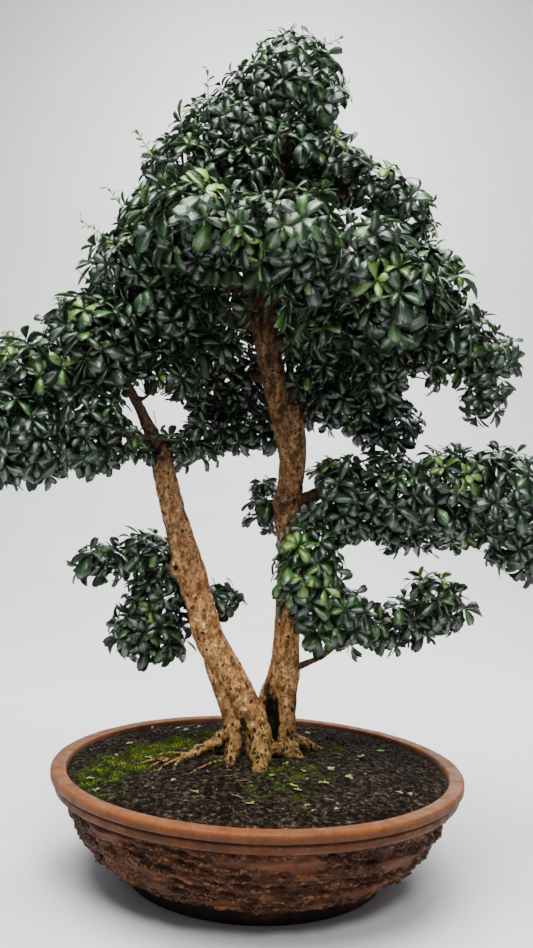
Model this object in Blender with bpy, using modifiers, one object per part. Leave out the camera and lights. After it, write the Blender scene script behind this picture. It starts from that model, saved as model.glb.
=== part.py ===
"""A fukien tea bonsai in a round clay pot, at its real size.

Metres, +Z up. The origin is the centre of the pot's flat underside, and the tree's front faces -Y.
The tree has two trunks that share one root base. The wood is one piece, and each pad of leaves is one piece.
"""

import math
import random

import bmesh
import bpy
import numpy as np
from mathutils import Matrix, Vector, noise
from mathutils.bvhtree import BVHTree
from mathutils.kdtree import KDTree

# Pot
RIM_RADIUS = 0.300
RIM_HEIGHT = 0.155
MOUTH_RADIUS = 0.278
BODY_RADIUS = 0.268
BASE_RADIUS = 0.188
FLOOR_HEIGHT = 0.024
POT_SEGMENTS = 48
ROCK_RELIEF = 0.006
DRAIN_RADIUS = 0.015
DRAIN_CIRCLE = 0.095
DRAIN_ANGLES = (0, 90, 180)
DRILL_LENGTH = 0.08
CHANNEL_LENGTH = 0.16
CHANNEL_WIDTH = 0.016
CHANNEL_DEPTH = 0.006

# Drainage screens and soil
SCREEN_SIDE = 0.050
SCREEN_THICKNESS = 0.0015
SCREEN_ROOM = 0.006
SCREEN_HOLE = 0.012
SCREEN_HOLES_A_SIDE = 2
SOIL_EDGE_HEIGHT = 0.149
SOIL_CROWN_HEIGHT = 0.168
SOIL_SEGMENTS = POT_SEGMENTS
CLEARANCE = 0.0005

# Foliage
CORE_SHARE = (0.54, 0.70)
TIP_SHARE = (0.90, 1.06)
LEAVES_AROUND = 6
LEAF_ROWS = 5
SMALL_MASSES = (0.079, 0.058)
LEAF_END_WIDTH = 0.028
NECK_BELOW = 1.25
DRAW_STEP = 0.05
TOUCH = 0.0000005
EASE = 0.0003
MOST_DRAWS = 40
LEAF_DROOP = 0.16
LEAF_SPREAD = 0.12
HIDDEN_DEPTH = 0.012
LEAST_RISE = 0.006
LEAF_TWIST = 0.5
NECK_SHARE = 0.45
NEIGHBOUR_GAP = 0.005
SEED = 5

# Trunks, roots and branches: (x, y, z, radius) along each, from the root end up. The number is the sides.
TRUNKS = {
    "left_trunk": (10, [(0.004, -0.016, 0.140, 0.0150), (0.002, -0.020, 0.170, 0.0190),
        (-0.003, -0.020, 0.205, 0.0200), (-0.024, -0.019, 0.253, 0.0195), (-0.044, -0.016, 0.290, 0.0205),
        (-0.071, -0.010, 0.333, 0.0225), (-0.091, -0.005, 0.391, 0.0215), (-0.109, 0.000, 0.442, 0.0225),
        (-0.126, 0.000, 0.493, 0.0195), (-0.145, 0.000, 0.553, 0.0170), (-0.157, 0.000, 0.598, 0.0165),
        (-0.164, 0.000, 0.628, 0.0120)]),
    "left_trunk_lobe": (6, [(-0.040, -0.014, 0.165, 0.0100), (-0.042, -0.014, 0.215, 0.0125),
        (-0.053, -0.012, 0.252, 0.0125), (-0.066, -0.010, 0.288, 0.0120),
        (-0.078, -0.008, 0.335, 0.0110)]),
    "right_trunk": (10, [(0.040, 0.010, 0.140, 0.0130), (0.040, 0.010, 0.165, 0.0155),
        (0.038, 0.012, 0.205, 0.0165), (0.036, 0.016, 0.250, 0.0195), (0.036, 0.018, 0.285, 0.0225),
        (0.036, 0.020, 0.325, 0.0205), (0.036, 0.020, 0.393, 0.0185), (0.035, 0.020, 0.469, 0.0180),
        (0.031, 0.020, 0.535, 0.0220), (0.032, 0.020, 0.575, 0.0180), (0.031, 0.020, 0.612, 0.0180),
        (0.022, 0.020, 0.662, 0.0210), (0.006, 0.020, 0.715, 0.0200), (-0.007, 0.020, 0.766, 0.0190),
        (-0.018, 0.020, 0.812, 0.0175), (-0.028, 0.020, 0.865, 0.0160), (-0.026, 0.020, 0.930, 0.0135),
        (-0.010, 0.020, 1.005, 0.0115), (0.004, 0.025, 1.085, 0.0095), (0.007, 0.030, 1.160, 0.0060)]),
    "right_trunk_lobe": (6, [(0.010, 0.006, 0.150, 0.0090), (0.006, 0.010, 0.205, 0.0095),
        (0.006, 0.014, 0.240, 0.0100), (0.020, 0.018, 0.280, 0.0120), (0.030, 0.020, 0.325, 0.0110)]),
}
ROOTS = {
    "front_root": (6, [(0.000, -0.024, 0.205, 0.0170), (0.004, -0.052, 0.182, 0.0135),
        (0.003, -0.086, 0.154, 0.0090)]),
    "middle_root": (6, [(-0.038, -0.018, 0.215, 0.0115), (-0.034, -0.040, 0.190, 0.0100),
        (-0.044, -0.064, 0.156, 0.0075)]),
    "left_root": (6, [(-0.038, -0.014, 0.208, 0.0110), (-0.066, -0.020, 0.183, 0.0090),
        (-0.096, -0.030, 0.170, 0.0078), (-0.128, -0.044, 0.154, 0.0045)]),
    "bridge_root": (6, [(0.000, -0.024, 0.192, 0.0120), (0.024, -0.016, 0.178, 0.0100),
        (0.040, 0.002, 0.168, 0.0100)]),
    "right_root": (6, [(0.040, 0.006, 0.178, 0.0120), (0.076, -0.024, 0.154, 0.0050)]),
    "back_right_root": (6, [(0.040, 0.016, 0.190, 0.0130), (0.078, 0.040, 0.169, 0.0085),
        (0.108, 0.056, 0.152, 0.0050)]),
    "back_root": (6, [(0.004, 0.010, 0.190, 0.0130), (0.010, 0.056, 0.170, 0.0090),
        (0.016, 0.088, 0.152, 0.0050)]),
    "back_left_root": (6, [(-0.036, -0.006, 0.195, 0.0110), (-0.064, 0.030, 0.170, 0.0085),
        (-0.088, 0.056, 0.152, 0.0050)]),
}
BRANCHES = {
    "to_left_lower": (6, [(-0.157, 0.000, 0.600, 0.0130), (-0.195, -0.022, 0.628, 0.0090),
        (-0.252, -0.050, 0.645, 0.0050)]),
    "to_left_upper": (6, [(-0.160, 0.000, 0.612, 0.0120), (-0.190, -0.018, 0.672, 0.0090),
        (-0.236, -0.044, 0.744, 0.0055)]),
    "to_left_low": (6, [(-0.112, 0.004, 0.456, 0.0090), (-0.142, 0.022, 0.452, 0.0060),
        (-0.190, 0.030, 0.450, 0.0040)]),
    "to_right_pad": (8, [(0.034, 0.018, 0.530, 0.0125), (0.068, 0.004, 0.553, 0.0090),
        (0.120, -0.018, 0.558, 0.0065)]),
    "to_front_pad": (6, [(0.040, 0.006, 0.500, 0.0085), (0.050, -0.032, 0.484, 0.0058),
        (0.050, -0.058, 0.460, 0.0045)]),
    "to_right_low": (6, [(0.040, 0.018, 0.284, 0.0085), (0.060, 0.010, 0.298, 0.0058),
        (0.087, 0.004, 0.312, 0.0050), (0.116, 0.000, 0.336, 0.0042), (0.150, -0.008, 0.353, 0.0034)]),
    "to_behind_pad": (6, [(0.028, 0.026, 0.520, 0.0075), (-0.002, 0.062, 0.532, 0.0042)]),
    "to_right_mid": (6, [(0.016, 0.020, 0.662, 0.0125), (0.050, 0.026, 0.692, 0.0090),
        (0.100, 0.032, 0.718, 0.0055)]),
    "to_right_tip": (6, [(-0.010, 0.016, 0.775, 0.0125), (0.046, -0.004, 0.786, 0.0092),
        (0.110, -0.026, 0.772, 0.0072), (0.190, -0.036, 0.752, 0.0056), (0.262, -0.034, 0.742, 0.0044),
        (0.312, -0.030, 0.760, 0.0034)]),
    "to_right_upper": (6, [(-0.020, 0.018, 0.822, 0.0120), (0.060, 0.000, 0.836, 0.0088),
        (0.150, -0.026, 0.850, 0.0066), (0.204, -0.037, 0.862, 0.0050)]),
    "to_front_dome": (6, [(-0.026, 0.016, 0.862, 0.0115), (-0.036, -0.044, 0.880, 0.0082),
        (-0.048, -0.125, 0.897, 0.0046)]),
    "to_front_right": (6, [(-0.022, 0.012, 0.840, 0.0110), (0.026, -0.052, 0.856, 0.0078),
        (0.082, -0.100, 0.876, 0.0044)]),
    "to_upper_left": (6, [(-0.016, 0.020, 0.806, 0.0120), (-0.070, 0.000, 0.817, 0.0090),
        (-0.135, -0.028, 0.819, 0.0055)]),
    "to_back_low": (6, [(0.002, 0.026, 0.728, 0.0110), (-0.034, 0.064, 0.740, 0.0080),
        (-0.066, 0.094, 0.745, 0.0058)]),
    "to_back_mid": (6, [(-0.022, 0.026, 0.846, 0.0110), (-0.002, 0.078, 0.862, 0.0080),
        (0.014, 0.122, 0.875, 0.0056)]),
    "to_back_left": (6, [(-0.026, 0.024, 0.880, 0.0100), (-0.070, 0.062, 0.876, 0.0070),
        (-0.112, 0.088, 0.872, 0.0050)]),
    "to_back_right": (6, [(-0.008, 0.024, 0.780, 0.0100), (0.050, 0.070, 0.786, 0.0074),
        (0.098, 0.102, 0.791, 0.0052)]),
    "to_crown_left": (6, [(-0.008, 0.021, 1.016, 0.0080), (-0.050, 0.004, 1.038, 0.0056),
        (-0.086, -0.008, 1.046, 0.0040)]),
    "to_crown_right": (6, [(-0.010, 0.021, 0.998, 0.0085), (0.055, 0.026, 1.012, 0.0060),
        (0.134, 0.030, 1.036, 0.0036)]),
}
# Burls and healed cuts: (x, y, z, radius)
KNOTS = {
    "left_trunk_scar": (-0.124, -0.012, 0.438, 0.0135),
    "left_trunk_head": (-0.158, -0.003, 0.606, 0.0190),
    "right_trunk_burl": (0.021, 0.010, 0.538, 0.0155),
    "base_swelling": (0.006, -0.026, 0.222, 0.0165),
    "right_trunk_foot": (0.042, 0.002, 0.172, 0.0150),
}
KNOT_SUBDIVISIONS = 2

# Each pad of leaves: ellipsoids that its leaf tips reach, as (centre, radii)
PADS = {
    "crown_apex": [
        ((0.000, 0.034, 1.220), (0.078, 0.072, 0.054)), ((-0.010, 0.040, 1.160), (0.112, 0.098, 0.068))],
    "crown_left": [
        ((-0.086, 0.024, 1.110), (0.094, 0.092, 0.068)), ((-0.148, 0.012, 1.048), (0.086, 0.092, 0.068)),
        ((-0.080, -0.022, 1.028), (0.088, 0.076, 0.060))],
    "crown_mid": [
        ((0.082, 0.040, 1.064), (0.088, 0.092, 0.068)), ((0.006, 0.036, 1.076), (0.092, 0.100, 0.072)),
        ((0.012, 0.118, 1.060), (0.098, 0.080, 0.074))],
    "crown_right": [
        ((0.150, 0.034, 1.030), (0.076, 0.076, 0.052)), ((0.206, 0.024, 0.992), (0.056, 0.060, 0.060))],
    "front_dome": [
        ((-0.094, -0.126, 0.914), (0.108, 0.096, 0.078)),
        ((0.006, -0.150, 0.904), (0.104, 0.098, 0.070))],
    "front_right": [
        ((0.100, -0.106, 0.892), (0.096, 0.092, 0.080)), ((0.158, -0.100, 0.828), (0.092, 0.090, 0.078))],
    "upper_left": [
        ((-0.206, -0.046, 0.882), (0.092, 0.096, 0.080)),
        ((-0.170, -0.036, 0.818), (0.098, 0.092, 0.082)),
        ((-0.176, -0.042, 0.950), (0.078, 0.082, 0.064))],
    "left_upper": [
        ((-0.250, -0.044, 0.766), (0.106, 0.100, 0.080)),
        ((-0.334, -0.048, 0.714), (0.094, 0.092, 0.066))],
    "left_lower": [
        ((-0.354, -0.050, 0.634), (0.090, 0.096, 0.078)),
        ((-0.270, -0.050, 0.648), (0.090, 0.092, 0.072))],
    "left_inner": [
        ((-0.180, -0.014, 0.700), (0.084, 0.082, 0.084)),
        ((-0.150, 0.034, 0.626), (0.066, 0.066, 0.060))],
    "right_upper": [
        ((0.226, -0.036, 0.868), (0.086, 0.086, 0.076)), ((0.270, -0.030, 0.798), (0.080, 0.082, 0.076))],
    "right_tip": [
        ((0.318, -0.030, 0.768), (0.060, 0.058, 0.046)), ((0.322, -0.030, 0.712), (0.044, 0.046, 0.048))],
    "right_mid": [
        ((0.180, -0.034, 0.752), (0.092, 0.086, 0.072)), ((0.122, 0.032, 0.722), (0.090, 0.082, 0.080)),
        ((0.182, 0.040, 0.666), (0.066, 0.062, 0.048))],
    "back_low": [
        ((-0.098, 0.118, 0.746), (0.110, 0.094, 0.088)), ((-0.062, 0.104, 0.656), (0.088, 0.066, 0.056))],
    "back_mid": [
        ((0.022, 0.158, 0.880), (0.112, 0.098, 0.090)), ((0.008, 0.124, 0.970), (0.104, 0.088, 0.078))],
    "back_left": [
        ((-0.152, 0.104, 0.874), (0.104, 0.098, 0.092))],
    "back_right": [
        ((0.146, 0.126, 0.804), (0.104, 0.098, 0.088)), ((0.062, 0.118, 0.740), (0.090, 0.078, 0.074))],
    "right_pad": [
        ((0.104, -0.022, 0.545), (0.074, 0.082, 0.068)), ((0.178, -0.030, 0.552), (0.076, 0.090, 0.070)),
        ((0.258, -0.034, 0.556), (0.082, 0.096, 0.078)), ((0.332, -0.042, 0.556), (0.078, 0.092, 0.074)),
        ((0.368, -0.046, 0.500), (0.052, 0.062, 0.054))],
    "behind_pad": [
        ((-0.008, 0.076, 0.536), (0.046, 0.052, 0.050))],
    "front_pad": [
        ((0.056, -0.068, 0.444), (0.056, 0.052, 0.076)), ((0.092, -0.054, 0.386), (0.062, 0.056, 0.048))],
    "right_low_pad": [
        ((0.160, -0.010, 0.354), (0.060, 0.048, 0.038)), ((0.204, -0.010, 0.372), (0.054, 0.050, 0.040)),
        ((0.244, -0.010, 0.396), (0.056, 0.054, 0.048))],
    "left_low_pad": [
        ((-0.254, 0.020, 0.436), (0.050, 0.050, 0.036)), ((-0.202, 0.032, 0.450), (0.060, 0.058, 0.042)),
        ((-0.166, 0.046, 0.390), (0.068, 0.064, 0.050)), ((-0.182, 0.034, 0.332), (0.062, 0.058, 0.044)),
        ((-0.090, 0.060, 0.388), (0.044, 0.040, 0.030))],
}

CLAY = (0.33, 0.155, 0.085)
SOIL = (0.022, 0.016, 0.012)
BARK = (0.38, 0.215, 0.105)
LEAF = (0.030, 0.085, 0.028)
MESH_PLASTIC = (0.03, 0.03, 0.03)


def clear_scene():
    for obj in list(bpy.data.objects):
        bpy.data.objects.remove(obj, do_unlink=True)
    for collection in list(bpy.data.collections):
        bpy.data.collections.remove(collection)


def new_collection(name):
    collection = bpy.data.collections.new(name)
    bpy.context.scene.collection.children.link(collection)
    return collection


def material(name, colour, roughness):
    made = bpy.data.materials.new(name)
    made.use_nodes = True
    shader = made.node_tree.nodes["Principled BSDF"]
    shader.inputs["Base Color"].default_value = (*colour, 1.0)
    shader.inputs["Roughness"].default_value = roughness
    shader.inputs["Metallic"].default_value = 0.0
    return made


def new_object(name, mesh, collection, finish=None):
    obj = bpy.data.objects.new(name, mesh)
    collection.objects.link(obj)
    if finish:
        mesh.materials.clear()
        mesh.materials.append(finish)
    return obj


def evaluated_copy(obj, collection, name):
    """A plain mesh object of obj as its modifiers leave it, which takes its place."""
    bpy.context.view_layer.update()
    graph = bpy.context.evaluated_depsgraph_get()
    mesh = bpy.data.meshes.new_from_object(obj.evaluated_get(graph))
    mesh.transform(obj.matrix_world)
    weld = bmesh.new()
    weld.from_mesh(mesh)
    bmesh.ops.remove_doubles(weld, verts=weld.verts, dist=0.00002)
    weld.to_mesh(mesh)
    weld.free()
    bpy.data.objects.remove(obj, do_unlink=True)
    return new_object(name, mesh, collection)


def boolean(obj, other, operation, solver="EXACT", crosses_itself=False):
    """Cuts or joins obj with one object, or with every object of a collection."""
    modifier = obj.modifiers.new(operation.lower(), "BOOLEAN")
    modifier.operation = operation
    modifier.solver = solver
    modifier.use_self = crosses_itself
    if isinstance(other, bpy.types.Collection):
        modifier.operand_type = "COLLECTION"
        modifier.collection = other
    else:
        modifier.object = other
    return modifier


def apply_all(obj):
    bpy.context.view_layer.update()
    graph = bpy.context.evaluated_depsgraph_get()
    mesh = bpy.data.meshes.new_from_object(obj.evaluated_get(graph))
    obj.modifiers.clear()
    obj.data = mesh


def remove_collection(collection):
    for obj in list(collection.objects):
        bpy.data.objects.remove(obj, do_unlink=True)
    bpy.data.collections.remove(collection)


def smooth_shade(obj, degrees=50):
    obj.data.shade_smooth()
    obj.data.set_sharp_from_angle(angle=math.radians(degrees))


# Turned shapes


def turned(name, profile, segments, collection):
    """A solid of revolution of a profile of (radius, height) points that starts and ends on the axis."""
    mesh = bpy.data.meshes.new(name)
    points = [(radius, 0.0, height) for radius, height in profile]
    mesh.from_pydata(points, [(i, i + 1) for i in range(len(points) - 1)], [])
    obj = new_object(name, mesh, collection)
    screw = obj.modifiers.new("turn", "SCREW")
    screw.angle = math.tau
    screw.steps = segments
    screw.render_steps = segments
    screw.use_merge_vertices = True
    screw.merge_threshold = 0.00002
    screw.use_normal_calculate = False
    return evaluated_copy(obj, collection, name)


def bowl_profile():
    """The rough outside of the bowl, from under the rim's second band down to the base."""
    return [(0.2690, 0.1240), (0.2710, 0.1080), (BODY_RADIUS, 0.0910), (0.2600, 0.0740), (0.2490, 0.0570),
            (0.2320, 0.0410), (0.2080, 0.0260)]


def pot_profile():
    """The floor and wall inside, over the rolled rim and its second band, and down the bowl to the base."""
    inner = [(0.0, FLOOR_HEIGHT), (0.180, FLOOR_HEIGHT), (0.252, 0.110), (MOUTH_RADIUS, 0.150)]
    rim = [(0.284, RIM_HEIGHT), (0.294, RIM_HEIGHT), (RIM_RADIUS, 0.1480), (RIM_RADIUS - 0.001, 0.1390),
           (0.2910, 0.1370), (0.2890, 0.1270)]
    base = [(BASE_RADIUS + 0.003, 0.0190), (BASE_RADIUS, 0.0), (0.0, 0.0)]
    return inner + rim + bowl_profile() + base


def rock_height(angle, height):
    """Split-stone relief round the bowl: ledges that run almost level, broken by lumps."""
    around = Vector((math.cos(angle) * 1.9, math.sin(angle) * 1.9, height * 9.0))
    ledge = math.sin(height * 230.0 + 2.6 * noise.noise(around * 1.3) + 1.1 * math.sin(2.0 * angle))
    lump = noise.fractal(around * 2.6, 0.9, 2.1, 3)
    return 0.5 * ledge + 0.9 * lump


def roughen_bowl(pot):
    """Pushes the bowl's outside in and out, as its relief says."""
    for vertex in pot.data.vertices:
        radius = math.hypot(vertex.co.x, vertex.co.y)
        if any(math.hypot(radius - r, vertex.co.z - h) < 0.0005 for r, h in bowl_profile()):
            relief = rock_height(math.atan2(vertex.co.y, vertex.co.x), vertex.co.z)
            push = ROCK_RELIEF * max(-0.9, min(1.0, relief))
            vertex.co.x *= 1.0 + push / radius
            vertex.co.y *= 1.0 + push / radius


def make_pot(collection, cutters):
    pot = turned("pot", pot_profile(), POT_SEGMENTS, collection)
    roughen_bowl(pot)
    for index, degrees in enumerate(DRAIN_ANGLES):
        place = Matrix.Rotation(math.radians(degrees), 4, "Z")
        drill = bmesh.new()
        middle = place @ Matrix.Translation((DRAIN_CIRCLE, 0, FLOOR_HEIGHT / 2))
        bmesh.ops.create_cone(drill, cap_ends=True, segments=12, radius1=DRAIN_RADIUS, radius2=DRAIN_RADIUS,
                              depth=DRILL_LENGTH, matrix=middle)
        channel = bmesh.new()
        middle = place @ Matrix.Translation((DRAIN_CIRCLE + CHANNEL_LENGTH / 2, 0, 0))
        size = Matrix.Diagonal((CHANNEL_LENGTH, CHANNEL_WIDTH, 2 * CHANNEL_DEPTH, 1))
        bmesh.ops.create_cube(channel, size=1.0, matrix=middle @ size)
        for kind, shape in (("drain", drill), ("channel", channel)):
            mesh = bpy.data.meshes.new(f"{kind}_{index}")
            shape.to_mesh(mesh)
            shape.free()
            cutter = new_object(mesh.name, mesh, cutters)
            cutter.hide_render = True
            cutter.display_type = "WIRE"
            boolean(pot, cutter, "DIFFERENCE")
    apply_all(pot)
    return pot


def soil_height(x, y):
    """The soil's mound, with a few shallow waves."""
    share = max(0.0, 1.0 - math.hypot(x, y) / (MOUTH_RADIUS - 0.006))
    mound = SOIL_EDGE_HEIGHT + (SOIL_CROWN_HEIGHT - SOIL_EDGE_HEIGHT) * (1.0 - (1.0 - share) ** 2.2)
    return mound + 0.0022 * share * noise.noise(Vector((x * 14.0, y * 14.0, 0.4)))


def make_soil(collection):
    """Fills the pot to just under the rim, a clearance inside its wall."""
    gap = CLEARANCE
    wall = [(0.252 - gap, 0.110), (0.180 - gap, FLOOR_HEIGHT + gap), (0.0, FLOOR_HEIGHT + gap)]
    edge = MOUTH_RADIUS - 0.0015 - gap
    top = [(radius, SOIL_EDGE_HEIGHT) for radius in (0.0, 0.150, edge)]
    soil = turned("soil", top + wall, SOIL_SEGMENTS, collection)
    for vertex in soil.data.vertices:
        if vertex.co.z > SOIL_EDGE_HEIGHT - 0.0005:
            vertex.co.z = soil_height(vertex.co.x, vertex.co.y)
    return soil


def make_screens(collection, finish):
    """A square of drainage mesh over each hole in the pot's floor."""
    screens = []
    for index, degrees in enumerate(DRAIN_ANGLES):
        place = Matrix.Rotation(math.radians(degrees), 4, "Z") @ Matrix.Translation(
            (DRAIN_CIRCLE, 0, FLOOR_HEIGHT + CLEARANCE + SCREEN_THICKNESS / 2))
        plate = bmesh.new()
        size = Matrix.Diagonal((SCREEN_SIDE, SCREEN_SIDE, SCREEN_THICKNESS, 1))
        bmesh.ops.create_cube(plate, size=1.0, matrix=place @ size)
        mesh = bpy.data.meshes.new(f"drainage_screen_{index + 1}")
        plate.to_mesh(mesh)
        plate.free()
        screen = new_object(mesh.name, mesh, collection, finish)
        holes = new_collection(f"screen_holes_{index + 1}")
        pitch = SCREEN_SIDE / (SCREEN_HOLES_A_SIDE + 0.4)
        for row in range(SCREEN_HOLES_A_SIDE):
            for column in range(SCREEN_HOLES_A_SIDE):
                middle = (SCREEN_HOLES_A_SIDE - 1) / 2
                shift = Matrix.Translation(((row - middle) * pitch, (column - middle) * pitch, 0))
                punch = bmesh.new()
                bmesh.ops.create_cube(punch, size=1.0, matrix=place @ shift @ Matrix.Diagonal(
                    (SCREEN_HOLE, SCREEN_HOLE, 6 * SCREEN_THICKNESS, 1)))
                hole = bpy.data.meshes.new("hole")
                punch.to_mesh(hole)
                punch.free()
                new_object(f"hole_{index}_{row}_{column}", hole, holes)
        boolean(screen, holes, "DIFFERENCE")
        apply_all(screen)
        remove_collection(holes)
        screens.append((screen, place))
    return screens


# Wood


def wood_lines():
    """(name, sides, points) of every trunk, root and branch."""
    return [(name, *line) for group in (TRUNKS, ROOTS, BRANCHES) for name, line in group.items()]


def tube(name, line, sides, grow, collection):
    """A tapering round stem along line, as one closed mesh, grow thicker all round."""
    curve = bpy.data.curves.new(name, "CURVE")
    curve.dimensions = "3D"
    curve.bevel_depth = 1.0
    curve.bevel_resolution = max(0, (sides - 4) // 2)
    curve.use_fill_caps = True
    spline = curve.splines.new("POLY")
    spline.points.add(len(line) - 1)
    along = [Vector(point[:3]) for point in line]
    along[0] -= grow * (along[1] - along[0]).normalized()
    along[-1] += grow * (along[-1] - along[-2]).normalized()
    for point, place, source in zip(spline.points, along, line):
        point.co = (*place, 1.0)
        point.radius = source[3] + grow
    guide = bpy.data.objects.new(name, curve)
    collection.objects.link(guide)
    return evaluated_copy(guide, collection, name)


def ball(name, centre, radii, subdivisions, collection):
    shape = bmesh.new()
    place = Matrix.Translation(centre) @ Matrix.Diagonal((*radii, 1.0))
    bmesh.ops.create_icosphere(shape, subdivisions=subdivisions, radius=1.0, matrix=place)
    mesh = bpy.data.meshes.new(name)
    shape.to_mesh(mesh)
    shape.free()
    return new_object(name, mesh, collection)


def make_wood(name, collection, grow=0.0):
    """Trunks, roots, branches and knots joined as one piece. With grow it is the hole that the wood needs."""
    pieces = new_collection(name + "_pieces")
    made = [tube(label, line, sides, grow, pieces) for label, sides, line in wood_lines()]
    for label, (x, y, z, radius) in KNOTS.items():
        size = radius + grow
        made.append(ball(label, (x, y, z), (size, size, size * 1.15), KNOT_SUBDIVISIONS, pieces))
    trunk = made[0]
    pieces.objects.unlink(trunk)
    collection.objects.link(trunk)
    boolean(trunk, pieces, "UNION")
    apply_all(trunk)
    remove_collection(pieces)
    trunk.name = name
    return trunk


# Foliage


def outside(points, ellipsoid):
    """About how far points lie outside an ellipsoid, negative inside."""
    centre, radii = ellipsoid
    return (np.linalg.norm((points - centre) / radii, axis=-1) - 1.0) * min(radii)


def own_side(pad, place):
    """Whether a point is on the pad's own side of every neighbouring pad."""
    point = np.array(place)
    mine = min(outside(point, ellipsoid) for ellipsoid in PADS[pad])
    neighbours = [ellipsoid for name, group in PADS.items() if name != pad for ellipsoid in group]
    theirs = min(outside(point, ellipsoid) for ellipsoid in neighbours)
    return theirs - mine > 2 * NEIGHBOUR_GAP


def drawn_in(pad, centre, place):
    """The last point from place towards centre that the pad can have to itself."""
    share = 1.0
    while share > DRAW_STEP and not own_side(pad, centre + share * (place - centre)):
        share -= DRAW_STEP
    return centre + share * (place - centre)


def raise_leaf(shape, face, ends):
    """Swaps a face for a leaf: a wedge that rises from it to the edge between two end vertices."""
    left, right = ends
    across = right.co - left.co
    middle = (left.co + right.co) / 2
    corners = list(face.verts)
    heads = [right if (corner.co - middle).dot(across) > 0 else left for corner in corners]
    bmesh.ops.delete(shape, geom=[face], context="FACES_ONLY")
    for index, (corner, head) in enumerate(zip(corners, heads)):
        after = (index + 1) % len(corners)
        shape.faces.new([corner, corners[after], heads[after]])
        if head is not heads[after]:
            shape.faces.new([corner, heads[after], head])


def scatter(draw):
    """A small random shift of a direction."""
    return LEAF_SPREAD * Vector([draw.uniform(-1, 1) for _ in range(3)])


def on_ellipsoid(ellipsoid, share, way):
    """The point in the direction way, at a share of the ellipsoid's size."""
    centre, radii = ellipsoid
    return Vector(centre) + share * Vector([part * radius for part, radius in zip(way.normalized(), radii)])


def leaf_ends(pad, ellipsoid, way, draw):
    """The two corners of a leaf's blunt tip."""
    tip = on_ellipsoid(ellipsoid, draw.uniform(*TIP_SHARE), way)
    across = way.cross(Vector((0, 0, 1)))
    across = across.normalized() if across.length > 0.2 else Vector((1, 0, 0))
    across = Matrix.Rotation(draw.uniform(-LEAF_TWIST, LEAF_TWIST), 3, way) @ across
    ends = [tip + side * LEAF_END_WIDTH / 2 * across for side in (-1, 1)]
    return [drawn_in(pad, Vector(ellipsoid[0]), end) for end in ends]


def sorted_by_place(elements, place):
    """Mesh elements in an order that is the same on every run."""
    return sorted(elements, key=lambda element: [round(part, 3) for part in place(element)])


def leafy_mass(name, pad, ellipsoid, draw, collection):
    """One ellipsoid of a pad: a small uneven core with a broad leaf over each of its faces."""
    others = [other for other in PADS[pad] if other is not ellipsoid]
    fewer = sum(sum(ellipsoid[1]) / 3 < limit for limit in SMALL_MASSES)
    shape = bmesh.new()
    bmesh.ops.create_uvsphere(shape, u_segments=LEAVES_AROUND - fewer, v_segments=LEAF_ROWS - min(fewer, 1),
                              radius=1.0, matrix=Matrix.Rotation(draw.uniform(0, math.tau), 4, "Z"))
    bmesh.ops.recalc_face_normals(shape, faces=shape.faces)
    faces = sorted_by_place(shape.faces, lambda face: face.calc_center_median())
    ways_out = [face.calc_center_median().normalized() for face in faces]
    for vertex in sorted_by_place(shape.verts, lambda vertex: vertex.co):
        place = on_ellipsoid(ellipsoid, draw.uniform(*CORE_SHARE), vertex.co + scatter(draw))
        vertex.co = drawn_in(pad, Vector(ellipsoid[0]), place)
    for face, straight in zip(faces, ways_out):
        way = (straight + scatter(draw) - Vector((0, 0, LEAF_DROOP))).normalized()
        ends = leaf_ends(pad, ellipsoid, way, draw)
        hidden = any(outside(np.array(ends[0]), other) < -HIDDEN_DEPTH for other in others)
        rise = min((end - face.calc_center_median()).dot(way) for end in ends)
        if rise > LEAST_RISE and not hidden:
            raise_leaf(shape, face, [shape.verts.new(end) for end in ends])
    bmesh.ops.recalc_face_normals(shape, faces=shape.faces)
    bmesh.ops.triangulate(shape, faces=shape.faces)
    if shape.calc_volume(signed=True) < 0:
        bmesh.ops.reverse_faces(shape, faces=shape.faces)
    mesh = bpy.data.meshes.new(name)
    shape.to_mesh(mesh)
    shape.free()
    return new_object(name, mesh, collection)


def reach(radii, way):
    """The distance from an ellipsoid's centre to its surface, in the direction of way."""
    return way.length / Vector([part / radius for part, radius in zip(way, radii)]).length


def necks(pad, collection):
    """Plain lumps under the leaves, which join masses of one pad whose cores would stay apart."""
    smallest = CORE_SHARE[0]
    cores = [(Vector(centre), smallest * Vector(radii)) for centre, radii in PADS[pad]]
    for index, (centre, radii) in enumerate(cores[1:], 1):
        near, near_radii = min(cores[:index], key=lambda other: (other[0] - centre).length)
        way = near - centre
        if reach(radii, way) + reach(near_radii, way) < NECK_BELOW * way.length:
            ball(f"{pad}_neck_{index}", (centre + near) / 2, NECK_SHARE * (radii + near_radii), 1, collection)


def keep_largest_shell(obj):
    """Drops loose scraps, and fills hollows that the leaves sealed: the outer shell has the most vertices."""
    shape = bmesh.new()
    shape.from_mesh(obj.data)
    left = set(shape.verts)
    shells = []
    while left:
        shell, reached = set(), [left.pop()]
        while reached:
            vertex = reached.pop()
            shell.add(vertex)
            for edge in vertex.link_edges:
                other = edge.other_vert(vertex)
                if other in left:
                    left.remove(other)
                    reached.append(other)
        shells.append(shell)
    shells.sort(key=len, reverse=True)
    scraps = [vertex for shell in shells[1:] for vertex in shell]
    bmesh.ops.delete(shape, geom=scraps, context="VERTS")
    shape.to_mesh(obj.data)
    shape.free()


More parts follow.
